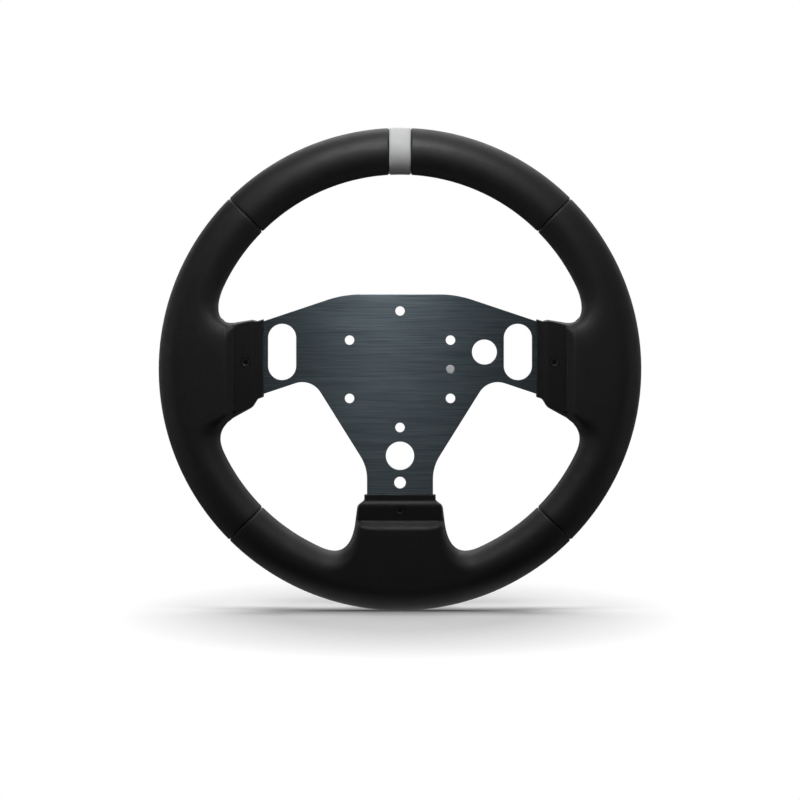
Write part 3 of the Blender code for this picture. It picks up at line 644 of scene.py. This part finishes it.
class Flare:
    """The curve of a boss's edge, from the rim's inner circle in to the cover, in the spoke's frame."""

    def __init__(self, spoke, sign):
        edge = spoke.edges[sign]
        self.edge = edge
        rim = polar(INNER_RADIUS, edge.leave)
        cover = Vector((spoke.end, spoke.plate_edge(sign, spoke.end) + edge.boss))
        along_rim = polar(edge.rim_pull, edge.leave - 90)
        self.points = (rim, rim + along_rim, cover + polar(edge.boss_pull, edge.lead), cover)
        self.spoke = spoke
        self.sign = sign
        self.root = self.t_at(spoke.end + LEATHER_RISE)

    def at(self, t):
        a, b, c, d = self.points
        s = 1 - t
        return a * s**3 + b * 3 * s * s * t + c * 3 * s * t * t + d * t**3

    def normal_angle(self, t):
        """Direction into the material, in degrees from the spoke's axis."""
        a, b, c, d = self.points
        s = 1 - t
        heading = (b - a) * s * s + (c - b) * 2 * s * t + (d - c) * t * t
        return math.degrees(math.atan2(heading.x, -heading.y))

    def t_at(self, out):
        """The parameter nearest the cover at which the curve is this far from the hub."""
        low, high = 1.0, 1.0
        while self.at(low).x < out and low > 0:
            high = low
            low -= SEARCH_STEP
        for _ in range(SEARCH_HALVINGS):
            middle = (low + high) / 2
            if self.at(middle).x < out:
                high = middle
            else:
                low = middle
        return (low + high) / 2

    def lift(self, section):
        return [raised(self.spoke.plan(point.x, self.sign * point.y), rise) for point, rise in section]

    def inner_half(self, t, facing, height, inset):
        """A section from the boss's edge up to its flat top, along a plan direction given in degrees."""
        crown = self.edge.crown
        spread = eased((t - CROWN_START) / (self.root - CROWN_START))
        closing = eased((t - self.root) / (1 - self.root))
        width = GRIP_ROUND + (crown - GRIP_ROUND) * spread + (BOSS_ROUND - crown) * closing
        power = 1 + (self.edge.fall - 1) * (spread - closing)
        slant = max(LEAST_SLANT, math.cos(math.radians(facing - self.normal_angle(t))))
        start = self.at(t)
        profile = ellipse(INNER_TURNS, width, height, inset, power)
        return [(start + polar(inward / slant, facing), rise) for inward, rise in profile]

    def chain(self, inset):
        """Whole sections from the plain ring to the boss's root, turning to lie along the spoke."""
        correction = -90 - self.normal_angle(self.root)
        sections = []
        for k in range(FLARE_STEPS + 1):
            share = k / FLARE_STEPS
            t = self.root * share
            inner = self.inner_half(t, self.normal_angle(t) + correction * share**2, HALF_DEPTH, inset)
            top = inner[-1][0]
            radial = math.atan2(top.y, top.x)
            parallel = math.asin(top.y / HOOP_RADIUS)
            turn = math.degrees(radial + (parallel - radial) * share)
            crest = polar(1, self.spoke.angle + self.sign * turn)
            sections.append(whole_section(self.lift(inner), outer_half(crest, inset)))
        return sections

    def row(self, out, share, inset):
        """Half of a section across the boss at a share of its slope, from this edge to the flat top."""
        height = boss_level(share, 1, self.spoke.bow)
        return self.lift(self.inner_half(self.t_at(out), -90, height, inset))


def slope_share(along):
    """Share of the rise at this share of the slope, which is even between a round foot and brow."""
    even = 1 - (SLOPE_FOOT + SLOPE_BROW) / 2
    if along < SLOPE_FOOT:
        return along * along / (2 * SLOPE_FOOT * even)
    if along > 1 - SLOPE_BROW:
        return 1 - (1 - along) ** 2 / (2 * SLOPE_BROW * even)
    return (along - SLOPE_FOOT / 2) / even


def boss_level(share, across, bow):
    """Level of the leather at a share of the slope. The bow shortens it where across nears -1 and 1."""
    reached = min(1.0, share / (1 - bow * across**BOW_POWER))
    return LEATHER_LEVEL + (HALF_DEPTH - LEATHER_LEVEL) * slope_share(reached)


def boss_rows(spoke):
    """(distance out, share of the slope, inset) of sections across a boss, from root to rolled end."""
    root = spoke.end + LEATHER_RISE
    foot = spoke.end + JOINT_GAP / 2 + LEATHER_ROLL
    rows = []
    for k in range(1, BOSS_STEPS + 1):
        share = 1 - k / BOSS_STEPS
        rows.append((foot + (root - foot) * share, share, 0.0))
    for turn in quarter(ROLL_STEPS)[1:]:
        roll = polar(LEATHER_ROLL, turn)
        rows.append((foot - roll.y, 0.0, LEATHER_ROLL - roll.x))
    return rows


def back_point(point):
    return Vector((point.x, 2 * MIDDLE_Y - point.y, point.z))


class Skin:
    """The face or the flesh of a piece of leather, with the closing seam's depth at each point."""

    def __init__(self):
        self.bm = bmesh.new()
        self.groove = self.bm.verts.layers.float.new("groove")
        self.lanes = []

    def line(self, points, grooves):
        verts = []
        for point, groove in zip(points, grooves):
            vert = self.bm.verts.new(point)
            vert[self.groove] = groove
            verts.append(vert)
        return verts

    def section(self, points):
        return self.line(points, GROOVES + [0.0] * (len(points) - len(GROOVES)))

    def strips(self, lines):
        for a, b in zip(lines, lines[1:]):
            for k in range(len(a) - 1):
                self.bm.faces.new((a[k], a[k + 1], b[k + 1], b[k]))

    def plain(self, start, stop, inset):
        """The grip from one seam to the next with no spoke between them."""
        head, first = seam_stations(start, 1, inset)
        tail, last = seam_stations(stop, -1, inset)
        stations = head + ring_stations(first, last, inset) + tail[::-1]
        self.strips([self.section(points) for points in stations])
        self.lanes.append([points[LANE] for points in stations])

    def side(self, spoke, sign, seam, inset):
        """Sections from a seam to the boss's root on one side of a spoke, and that edge's flare."""
        angle, shift = seam
        near = spoke.angle + (angle - spoke.angle + 180) % 360 - 180
        head, first = seam_stations((near, shift), -sign, inset)
        last = spoke.angle + sign * spoke.edges[sign].leave
        flare = Flare(spoke, sign)
        stations = head + ring_stations(first, last, inset) + flare.chain(inset)
        lane = [points[LANE] for points in stations]
        self.lanes.append(lane)
        return [self.section(points) for points in stations], flare, lane

    def boss(self, spoke, start, stop, inset):
        """The grip from one seam to the next with a spoke's boss between them."""
        low, low_flare, low_lane = self.side(spoke, -1, start, inset)
        high, high_flare, high_lane = self.side(spoke, 1, stop, inset)
        self.strips(low)
        self.strips(high[::-1])
        low_root = low[-1]
        high_root = high[-1]
        columns = []
        for point in between(low_root[TOP].co, high_root[TOP].co, BOSS_COLUMNS):
            across = Vector((point.x, point.z)).dot(polar(1, spoke.angle + 90))
            crest = polar(1, spoke.angle + math.degrees(math.asin(across / HOOP_RADIUS)))
            points = whole_section([point], outer_half(crest, inset))
            columns.append(self.line(points, [0.0] * len(points)))
        self.strips([low_root[TOP:]] + columns + [high_root[TOP:]])
        rows = [low_root[: TOP + 1] + [column[0] for column in columns] + high_root[: TOP + 1][::-1]]
        flat = [0.0] * (BOSS_COLUMNS - 1)
        for out, share, tuck in boss_rows(spoke):
            low_half = low_flare.row(out, share, inset + tuck)
            high_half = high_flare.row(out, share, inset + tuck)
            low_lane.append(low_half[LANE])
            high_lane.append(high_half[LANE])
            middle = between(low_half[-1], high_half[-1], BOSS_COLUMNS)
            for k, point in enumerate(middle, 1):
                level = boss_level(share, 2 * k / BOSS_COLUMNS - 1, spoke.bow)
                point.y = MIDDLE_Y - level + inset + tuck
            points = low_half + middle + high_half[::-1]
            rows.append(self.line(points, GROOVES + flat + GROOVES[::-1]))
        self.strips(rows)

    def close_back(self):
        """Adds the back half, a reflection in the wheel's middle plane, and presses the closing seam in."""
        twins = {}
        for vert in self.bm.verts[:]:
            twins[vert] = vert
            if abs(vert.co.y - MIDDLE_Y) > WELD:
                twins[vert] = self.bm.verts.new(back_point(vert.co))
                twins[vert][self.groove] = vert[self.groove]
        for side in self.bm.faces[:]:
            self.bm.faces.new([twins[vert] for vert in reversed(side.verts[:])])
        self.bm.normal_update()
        for vert, twin in twins.items():
            if twin is not vert:
                twin.co -= twin.normal * twin[self.groove]


def make_wrap(name, start, stop, material, slot, spoke=None):
    """One closed piece of leather between two seams. Returns its lanes of closing seam.

    Face and flesh have the same points, so their edges are joined point by point.
    """
    face = Skin()
    flesh = Skin()
    for skin, inset in ((face, 0.0), (flesh, LEATHER)):
        if spoke:
            skin.boss(spoke, start, stop, inset)
        else:
            skin.plain(start, stop, inset)
        skin.close_back()
    bm = face.bm
    edges = [edge for edge in bm.edges if edge.is_boundary]
    outside = bm.verts[:]
    inside = [bm.verts.new(vert.co) for vert in flesh.bm.verts]
    flesh.bm.verts.index_update()
    for side in flesh.bm.faces:
        bm.faces.new([inside[vert.index] for vert in reversed(side.verts[:])])
    flesh.bm.free()
    under = dict(zip(outside, inside))
    for edge in edges:
        a, b = edge.verts
        bm.faces.new((a, b, under[b], under[a]))
    add_piece(name, bm, material, slot, name)
    return face.lanes


class Lane:
    """A closing seam on the back of the leather, by distance along it."""

    def __init__(self, stations):
        self.middle = [back_point(station[1]) for station in stations]
        self.across = [(back_point(s[2]) - back_point(s[0])).normalized() for s in stations]
        self.marks = [0.0]
        for a, b in zip(self.middle, self.middle[1:]):
            self.marks.append(self.marks[-1] + (b - a).length)

    def at(self, distance, aside, lift):
        """A point beside the seam's middle and over the leather's face."""
        k = 0
        while k < len(self.marks) - 2 and self.marks[k + 1] < distance:
            k += 1
        along = self.middle[k + 1] - self.middle[k]
        share = (distance - self.marks[k]) / (self.marks[k + 1] - self.marks[k])
        across = self.across[k].lerp(self.across[k + 1], share)
        up = along.cross(across).normalized()
        if up.y < 0:
            up.negate()
        return self.middle[k].lerp(self.middle[k + 1], share) + across * aside + up * lift


def thread_points(lane):
    """A thread that crosses the seam from side to side, dipping into the leather at each turn."""
    room = lane.marks[-1] - 2 * STITCH_CLEAR
    count = max(2, round(2 * room / STITCH_PITCH))
    points = []
    for k in range(count):
        side = 1 if k % 2 else -1
        for aside, lift in STITCH_PATH:
            distance = STITCH_CLEAR + room * (k + (aside + 1) / 2) / count
            points.append(lane.at(distance, side * aside * STITCH_HALF_WIDTH, lift))
    return points


def make_thread(name, lanes, material):
    curve = bpy.data.curves.new(name, "CURVE")
    curve.dimensions = "3D"
    curve.bevel_depth = THREAD_RADIUS
    curve.bevel_resolution = 1
    curve.use_fill_caps = True
    bm = curve_solid(curve, [thread_points(Lane(stations)) for stations in lanes], closed=False)
    add_piece(name, bm, material, "black_leather")


def make_leather():
    black = leather_material("black_leather")
    grey = leather_material("grey_leather")
    thread = thread_material()
    band_shift = (BAND_WIDTH + SEAM_GAP) / 2
    band_right = (90.0, -band_shift)
    band_left = (90.0, band_shift)
    right_upper, left_upper, left_lower, right_lower = [(angle, 0.0) for angle in SEAM_ANGLES]
    pieces = (
        ("grip_wrap_right", right_lower, right_upper, RIGHT),
        ("grip_wrap_top_right", right_upper, band_right, None),
        ("grip_wrap_top_left", band_left, left_upper, None),
        ("grip_wrap_left", left_upper, left_lower, LEFT),
        ("grip_wrap_bottom", left_lower, right_lower, BOTTOM),
    )
    for name, start, stop, spoke in pieces:
        lanes = make_wrap(name, start, stop, black, "black_leather", spoke)
        make_thread(name.replace("grip_wrap", "stitches"), lanes, thread)
    make_wrap("centre_band", band_right, band_left, grey, "grey_leather")


# Moulded covers and their screws


def filleted(corners, step):
    """A path through (x, y, radius) corners, each rounded by an arc unless its radius is 0."""
    places = [Vector((x, y)) for x, y, _ in corners]
    path = []
    for k, corner in enumerate(places):
        radius = corners[k][2]
        if radius == 0:
            path.append(corner)
            continue
        before = (places[k - 1] - corner).normalized()
        after = (places[(k + 1) % len(places)] - corner).normalized()
        half = before.angle(after) / 2
        centre = corner + (before + after).normalized() * radius / math.sin(half)
        start = corner + before * radius / math.tan(half) - centre
        stop = corner + after * radius / math.tan(half) - centre
        first = math.degrees(math.atan2(start.y, start.x))
        sweep = math.degrees(stop.angle_signed(start))
        count = max(1, math.ceil(abs(sweep) / step))
        path += [centre + polar(radius, first + sweep * j / count) for j in range(count + 1)]
    return path


def height_on(path, along):
    """Height of a path that runs outwards, at this distance out."""
    for a, b in zip(path, path[1:]):
        if along <= b.x:
            return a.y + (b.y - a.y) * (along - a.x) / (b.x - a.x)
    return path[-1].y


def cover_rows(spoke):
    """Sections along a cover, as (distance out, half width on each side, level, rounding)."""
    start = spoke.lip_start
    lip_end = start + LIP_LENGTH
    terrace = lip_end + BEVEL_LENGTH
    end = spoke.end - JOINT_GAP / 2
    top_corners = [
        (start, LIP_LEVEL, 0),
        (lip_end, LIP_LEVEL, VALLEY_RADIUS),
        (lip_end + BEVEL_RUN, TERRACE_LEVEL, BROW_RADIUS),
        (end, TERRACE_LEVEL - TERRACE_FALL, 0),
    ]
    top = filleted(top_corners, FILLET_STEP)
    margins = {}
    for sign, edge in spoke.edges.items():
        corners = [
            (start, edge.lip, 0),
            (lip_end, edge.lip, NECK_RADIUS),
            (terrace, edge.shoulder, CORNER_RADIUS),
            (end, edge.boss, 0),
        ]
        margins[sign] = filleted(corners, FILLET_STEP)
    rounds = [Vector(pair) for pair in ((start, LIP_ROUND), (lip_end, LIP_ROUND), (terrace, COVER_ROUND))]
    for k in range(1, TERRACE_STEPS + 1):
        share = k / TERRACE_STEPS
        spread = (BOSS_ROUND - COVER_ROUND) * share**3
        rounds.append(Vector((terrace + (end - terrace) * share, COVER_ROUND + spread)))
    stations = []
    for turn in quarter(ROLL_STEPS)[:-1]:
        roll = polar(LIP_EDGE, turn)
        stations.append((start + LIP_EDGE - roll.x, LIP_EDGE - roll.y))
    places = {round(point.x, PLACE_DIGITS) for path in (top, rounds, *margins.values()) for point in path}
    stations += [(place, 0.0) for place in sorted(places) if start + LIP_EDGE < place < end - END_EDGE]
    for turn in quarter(ROLL_STEPS):
        roll = polar(END_EDGE, turn)
        stations.append((end - END_EDGE + roll.y, END_EDGE - roll.x))
    rows = []
    for out, tuck in stations:
        widths = {}
        for sign in (-1, 1):
            widths[sign] = spoke.plate_edge(sign, out) + height_on(margins[sign], out) - tuck
        rows.append((out, widths, height_on(top, out) - tuck, height_on(rounds, out)))
    return rows


def tongue_room(spoke):
    """A straight solid of the plate's room in a cover."""
    first = spoke.lip_start - LIP_LENGTH
    last = spoke.end + LEATHER_RISE
    corners = []
    for out, sign in ((first, -1), (last, -1), (last, 1), (first, 1)):
        corners.append(spoke.plan(out, sign * (spoke.plate_edge(sign, out) + FIT_GAP)))
    level = HALF_PLATE + FIT_GAP
    bm = bmesh.new()
    lower = [bm.verts.new(raised(corner, -level)) for corner in corners]
    upper = [bm.verts.new(raised(corner, level)) for corner in corners]
    bm.faces.new(lower)
    bm.faces.new(upper[::-1])
    for k in range(len(corners)):
        bm.faces.new((lower[k - 1], lower[k], upper[k], upper[k - 1]))
    return bm


def screw_way():
    """Rings of the stepped and chamfered hole in a front cover."""
    wide = SCREW_HEAD / 2 + SCREW_CLEAR
    narrow = SCREW_SHANK / 2 + FIT_GAP
    above = TERRACE_LEVEL + SCREW_LEAD
    return [
        (0, above),
        (wide + 2 * SCREW_LEAD, above),
        (wide, TERRACE_LEVEL - SCREW_LEAD),
        (wide, HEAD_SEAT),
        (narrow, HEAD_SEAT),
        (narrow, 0),
        (0, 0),
    ]


def make_cover(name, spoke, facing, material):
    """One half of a collar: the front half (facing 1) or the rear half (facing -1)."""
    bm = bmesh.new()
    parting = FIT_GAP / 2
    rows = []
    for out, widths, level, edge_round in cover_rows(spoke):
        profile = ellipse(quarter(COVER_STEPS), edge_round, level - parting, 0)
        section = [(inward - widths[-1], rise) for inward, rise in profile]
        section += [(widths[1] - inward, rise) for inward, rise in reversed(profile)]
        points = [raised(spoke.plan(out, across), facing * (parting + rise)) for across, rise in section]
        rows.append([bm.verts.new(point) for point in points])
    for inner, outer in zip(rows, rows[1:]):
        for k in range(len(inner) - 1):
            bm.faces.new((inner[k], outer[k], outer[k + 1], inner[k + 1]))
    bm.faces.new(rows[0])
    bm.faces.new(rows[-1][::-1])
    bm.faces.new([row[0] for row in rows[::-1]] + [row[-1] for row in rows])
    tools = [solid("tongue_room", tongue_room(spoke))]
    if facing > 0:
        tools.append(solid("screw_way", turned(screw_way(), spoke.screw_place)))
    add_piece(name, cut_away(bm, *tools), material, "moulded_plastic", name, hard=True)


def screw_rings():
    """Rings of a socket screw, from the bottom of its socket over the head to the tip."""
    seat = HEAD_SEAT + FIT_GAP
    top = seat + SCREW_HEAD_HEIGHT
    floor = top - SCREW_SOCKET_DEPTH
    return [
        (0, floor),
        (-SCREW_SOCKET / 2, floor),
        (-SCREW_SOCKET / 2, top - HEAD_BREAK / 2),
        (SCREW_SOCKET / 2 + HEAD_BREAK, top),
        (SCREW_HEAD / 2 - HEAD_BREAK, top),
        (SCREW_HEAD / 2, top - HEAD_BREAK),
        (SCREW_HEAD / 2, seat),
        (SCREW_SHANK / 2, seat),
        (SCREW_SHANK / 2, SCREW_TIP + HEAD_BREAK),
        (SCREW_SHANK / 2 - HEAD_BREAK, SCREW_TIP),
        (0, SCREW_TIP),
    ]


def make_covers():
    plastic = plastic_material()
    black = metal_material("black_screw")
    for spoke in SPOKES:
        make_cover(f"cover_front_{spoke.name}", spoke, 1, plastic)
        make_cover(f"cover_rear_{spoke.name}", spoke, -1, plastic)
        screw = f"cover_screw_{spoke.name}"
        bm = turned(screw_rings(), spoke.screw_place)
        add_piece(screw, bm, black, "black_screw", screw, hard=True)


# Plate and pin


def circle(centre, diameter):
    return [centre + polar(diameter / 2, turn * HOLE_STEP) for turn in range(round(360 / HOLE_STEP))]


def slot_outline(centre):
    """An upright slot with round ends."""
    rise = Vector((0, (SLOT_LENGTH - SLOT_WIDTH) / 2))
    arc = [polar(SLOT_WIDTH / 2, k * HOLE_STEP) for k in range(round(180 / HOLE_STEP) + 1)]
    return [centre + rise + point for point in arc] + [centre - rise - point for point in arc]


def plate_outlines():
    """The plate's own outline, then its holes."""
    right = [
        (PLATE_SHOULDER, PLATE_TOP, SHOULDER_RADIUS),
        (TONGUE_END, arm_top(TONGUE_END), TONGUE_RADIUS),
        (TONGUE_END, arm_bottom(TONGUE_END), TONGUE_RADIUS),
        (CROTCH_X, CROTCH_Z, CROTCH_RADIUS),
        (FOOT_HALF_WIDTH, FOOT_BEND_Z, FOOT_BEND_RADIUS),
        (FOOT_HALF_WIDTH, -TONGUE_END, TONGUE_RADIUS),
    ]
    left = [(-x, z, radius) for x, z, radius in reversed(right)]
    outlines = [filleted(right + left, OUTLINE_STEP)]
    outlines += [circle(polar(BOLT_CIRCLE / 2, angle), BOLT_HOLE) for angle in BOLT_ANGLES]
    outlines.append(circle(Vector((PIN_X, 0)), PIN_DIAMETER + 2 * PIN_CLEAR))
    outlines += [circle(Vector((x, z)), diameter) for x, z, diameter in PORTS]
    outlines += [slot_outline(Vector((x, SLOT_Z))) for x in (-SLOT_X, SLOT_X)]
    for spoke in SPOKES:
        outlines.append(circle(spoke.screw_place, SCREW_SHANK + 2 * FIT_GAP))
        for sign in (-1, 1):
            outlines.append(circle(spoke.plan(RIVET_OUT, sign * RIVET_SPACING / 2), RIVET_HOLE))
    return outlines


def make_plate():
    curve = bpy.data.curves.new("plate_outline", "CURVE")
    curve.dimensions = "2D"
    curve.fill_mode = "BOTH"
    curve.extrude = HALF_PLATE - EDGE_BREAK
    curve.bevel_depth = EDGE_BREAK
    curve.bevel_resolution = 1
    curve.offset = -EDGE_BREAK
    lines = [[place.to_3d() for place in outline] for outline in plate_outlines()]
    bm = curve_solid(curve, lines, closed=True)
    for vert in bm.verts:
        vert.co = raised(vert.co.xy, vert.co.z)
    add_piece("spoke_plate", bm, plate_material(), "brushed_plate", "spoke_plate", hard=True)


def make_pin():
    radius = PIN_DIAMETER / 2
    back = -HALF_PLATE - PIN_STANDS_OUT
    rings = [
        (0, HALF_PLATE),
        (radius - HEAD_BREAK, HALF_PLATE),
        (radius, HALF_PLATE - HEAD_BREAK),
        (radius, back + HEAD_BREAK),
        (radius - HEAD_BREAK, back),
        (0, back),
    ]
    bm = turned(rings, Vector((PIN_X, 0)))
    add_piece("locating_pin", bm, metal_material("pin_steel"), "pin_steel", "locating_pin", hard=True)


def finish_hidden_nodes(nodes):
    """Materials for the solids that stay as they are, inside the grip and the covers."""
    steel = metal_material("armature_steel")
    brass = metal_material("insert_brass")
    foam = foam_material()
    finishes = {"armature": steel, "hoop": steel, "tongue": steel, "cover_insert": brass, "foam": foam}
    for name, obj in nodes.items():
        for start, material in finishes.items():
            if name.startswith(start):
                obj.data.materials.clear()
                obj.data.materials.append(material)


# Studio

CAMERA_DISTANCE = 2.2
VIEW_WIDTH = 0.4807  # seen across the wheel
CAMERA_Z = -0.0185
SENSOR = 36.0

# World: a dim room, and a white backdrop by the cosine of the turn from straight behind the wheel
ROOM = 0.05
BACKDROP_START = 0.97
BACKDROP_FULL = 0.998

# Floor as the camera sees it. A pair is a start and an end, in metres from under the wheel's centre
FLOOR_HALF = 6.0
# Painted shadow: the floor's tone is darker in front of the wheel than behind it, over the depths in
# BACK_DEPTH
PAINTED_FRONT_SHADOW = 0.81
FLOOR_BACK = 1.0
BACK_DEPTH = (-0.05, 0.03)
FLOOR_GLOW = 0.06
CONTACT_SHADOW_REACH = 0.05  # how far from the wheel the painted contact shadow darkens the floor
FADE = (0.075, 0.165)  # to plain white
FADE_DEPTH = 0.4  # depth counts this much in the fade

# Floor as the wheel sees it
FLOOR_NEAR = 0.04
FLOOR_BESIDE = 0.35
BESIDE = (0.10, 0.28)
BESIDE_END = (0.08, 0.20)  # depth
FAR_BESIDE = (0.32, 0.50)
FLOOR_UNDER = 0.45  # glow for the wheel's underside
UNDER_DEPTH = (-0.035, -0.008)
UNDER_REACH = (0.05, 0.16)
FAR_DEPTH = (1.0, 2.5)  # white to metal and glass too

# Lamps: name, place, target, size and power
LAMPS = (
    ("front softbox", (-0.008, -0.20, 0.272), (0, 0, 0.05), (0.06, 0.14), 0.60),
    ("front fill", (0.02, -1.60, -0.05), (0, 0, 0), (0.46, 1.0), 0.43),
    ("left key", (-0.38, -0.32, 0.50), (0, 0, 0.03), (0.15, 0.20), 0.33),
    ("right key", (0.38, -0.32, 0.50), (0, 0, 0.03), (0.15, 0.20), 0.17),
    ("top softbox", (0.16, 0.45, 1.25), (0, 0, -0.05), (1.6, 1.2), 7.6),
    ("back softbox", (0, 0.90, 0.80), (0, 0, 0), (1.2, 0.8), 4.5),
    ("back left panel", (-0.95, 0.90, 0.35), (0, 0, 0), (0.6, 0.6), 1.0),
    ("back right panel", (0.95, 0.90, 0.35), (0, 0, 0), (0.6, 0.6), 0.7),
    ("left panel", (-0.80, -0.15, 0.05), (0, 0, 0), (0.6, 0.5), 0.57),
    ("right panel", (0.80, -0.15, 0.0), (0, 0, 0), (0.6, 0.5), 0.47),
)


def make_camera():
    data = bpy.data.cameras.new("camera")
    data.sensor_width = SENSOR
    data.lens = SENSOR * CAMERA_DISTANCE / VIEW_WIDTH
    camera = placed("camera", data)
    camera.location = (0, MIDDLE_Y - CAMERA_DISTANCE, CAMERA_Z)
    camera.rotation_euler = (math.pi / 2, 0, 0)
    bpy.context.scene.camera = camera


def make_lamp(name, place, target, size, power):
    """A soft rectangular lamp that faces its target."""
    data = bpy.data.lights.new(name, "AREA")
    data.shape = "RECTANGLE"
    data.size, data.size_y = size
    data.energy = power
    lamp = placed(name, data)
    lamp.location = place
    lamp.visible_camera = False
    lamp.rotation_euler = (Vector(target) - Vector(place)).to_track_quat("-Z", "Y").to_euler()


def make_world():
    """White to the camera, and behind the wheel also to its gloss. Elsewhere the wheel sees a dim room."""
    world = bpy.data.worlds.new("studio")
    bpy.context.scene.world = world
    world.use_nodes = True
    nodes = Nodes(world.node_tree)
    heading = nodes.node("ShaderNodeTexCoord").outputs["Generated"]
    depth = nodes.node("ShaderNodeSeparateXYZ", heading).outputs["Y"]
    white_share = nodes.shows_white(nodes.ramp(depth, 0.0, 1.0, BACKDROP_START, BACKDROP_FULL))
    room = nodes.fill(nodes.tree.nodes["Background"], Color=WHITE, Strength=ROOM).outputs[0]
    white = nodes.result("ShaderNodeBackground", Color=WHITE, Strength=1.0)
    mixed = nodes.result("ShaderNodeMixShader", white_share, room, white)
    nodes.fill(nodes.tree.nodes["World Output"], Surface=mixed)


def make_floor():
    """A floor that takes the wheel's shadow, with a painted shadow in front of it and at its contact, and
    fades to white. The wheel sees it dim, with a glow below.
    """
    bm = bmesh.new()
    bmesh.ops.create_grid(bm, x_segments=1, y_segments=1, size=FLOOR_HALF)
    floor = solid("floor", bm)
    floor.location = (0, 0, FLOOR_Z)
    shade = Shade("floor", Roughness=1.0, Specular_IOR_Level=0.0, Emission_Color=WHITE)
    across, depth, _ = shade.node("ShaderNodeSeparateXYZ", shade.place).outputs
    aside = shade.maths("ABSOLUTE", across)
    beside = shade.ramp(aside, 0.0, 1.0, *BESIDE)
    beside = shade.maths("MULTIPLY", beside, shade.ramp(depth, 1.0, 0.0, *BESIDE_END))
    beside = shade.maths("MAXIMUM", shade.ramp(aside, 0.0, 1.0, *FAR_BESIDE), beside)
    under = shade.ramp(shade.length(shade.place), 1.0, 0.0, *UNDER_REACH)
    under = shade.maths("MULTIPLY", shade.ramp(depth, 0.0, 1.0, *UNDER_DEPTH), under)
    shade.feed(
        Base_Color=shade.ramp(beside, FLOOR_NEAR, FLOOR_BESIDE, 0.0, 1.0),
        Emission_Strength=shade.maths("MULTIPLY", under, FLOOR_UNDER),
    )
    # Painted shadow: the floor is darker in front of the wheel than behind it
    tone = shade.ramp(depth, PAINTED_FRONT_SHADOW, FLOOR_BACK, *BACK_DEPTH)
    # Painted contact shadow: ambient occlusion darkens the floor's colour near the wheel
    contact_shadow = shade.result("ShaderNodeAmbientOcclusion", Color=tone, Distance=CONTACT_SHADOW_REACH)
    lit = shade.result("ShaderNodeBsdfDiffuse", Color=contact_shadow)
    glow = shade.result("ShaderNodeEmission", Color=WHITE, Strength=FLOOR_GLOW)
    near = shade.result("ShaderNodeAddShader", lit, glow)
    plain = shade.result("ShaderNodeEmission", Color=WHITE, Strength=1.0)
    fade = shade.ramp(shade.length(shade.stretched(1.0, FADE_DEPTH, 1.0)), 0.0, 1.0, *FADE)
    seen = shade.result("ShaderNodeMixShader", fade, near, plain)
    white_share = shade.shows_white(shade.ramp(depth, 0.0, 1.0, *FAR_DEPTH))
    mixed = shade.result("ShaderNodeMixShader", white_share, shade.shader.outputs["BSDF"], seen)
    shade.fill(shade.tree.nodes["Material Output"], Surface=mixed)
    floor.data.materials.append(shade.material)


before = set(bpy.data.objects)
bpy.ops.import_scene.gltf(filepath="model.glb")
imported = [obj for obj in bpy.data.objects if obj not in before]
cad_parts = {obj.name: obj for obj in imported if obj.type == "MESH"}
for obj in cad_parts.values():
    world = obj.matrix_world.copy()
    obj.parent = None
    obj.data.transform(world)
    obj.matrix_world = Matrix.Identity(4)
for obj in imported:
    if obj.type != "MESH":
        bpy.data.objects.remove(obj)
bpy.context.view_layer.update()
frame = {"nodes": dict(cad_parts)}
bpy.context.scene.view_settings.view_transform = "Standard"

make_leather()
make_covers()
make_plate()
make_pin()
finish_hidden_nodes(frame["nodes"])

make_camera()
make_world()
make_floor()
for lamp in LAMPS:
    make_lamp(*lamp)
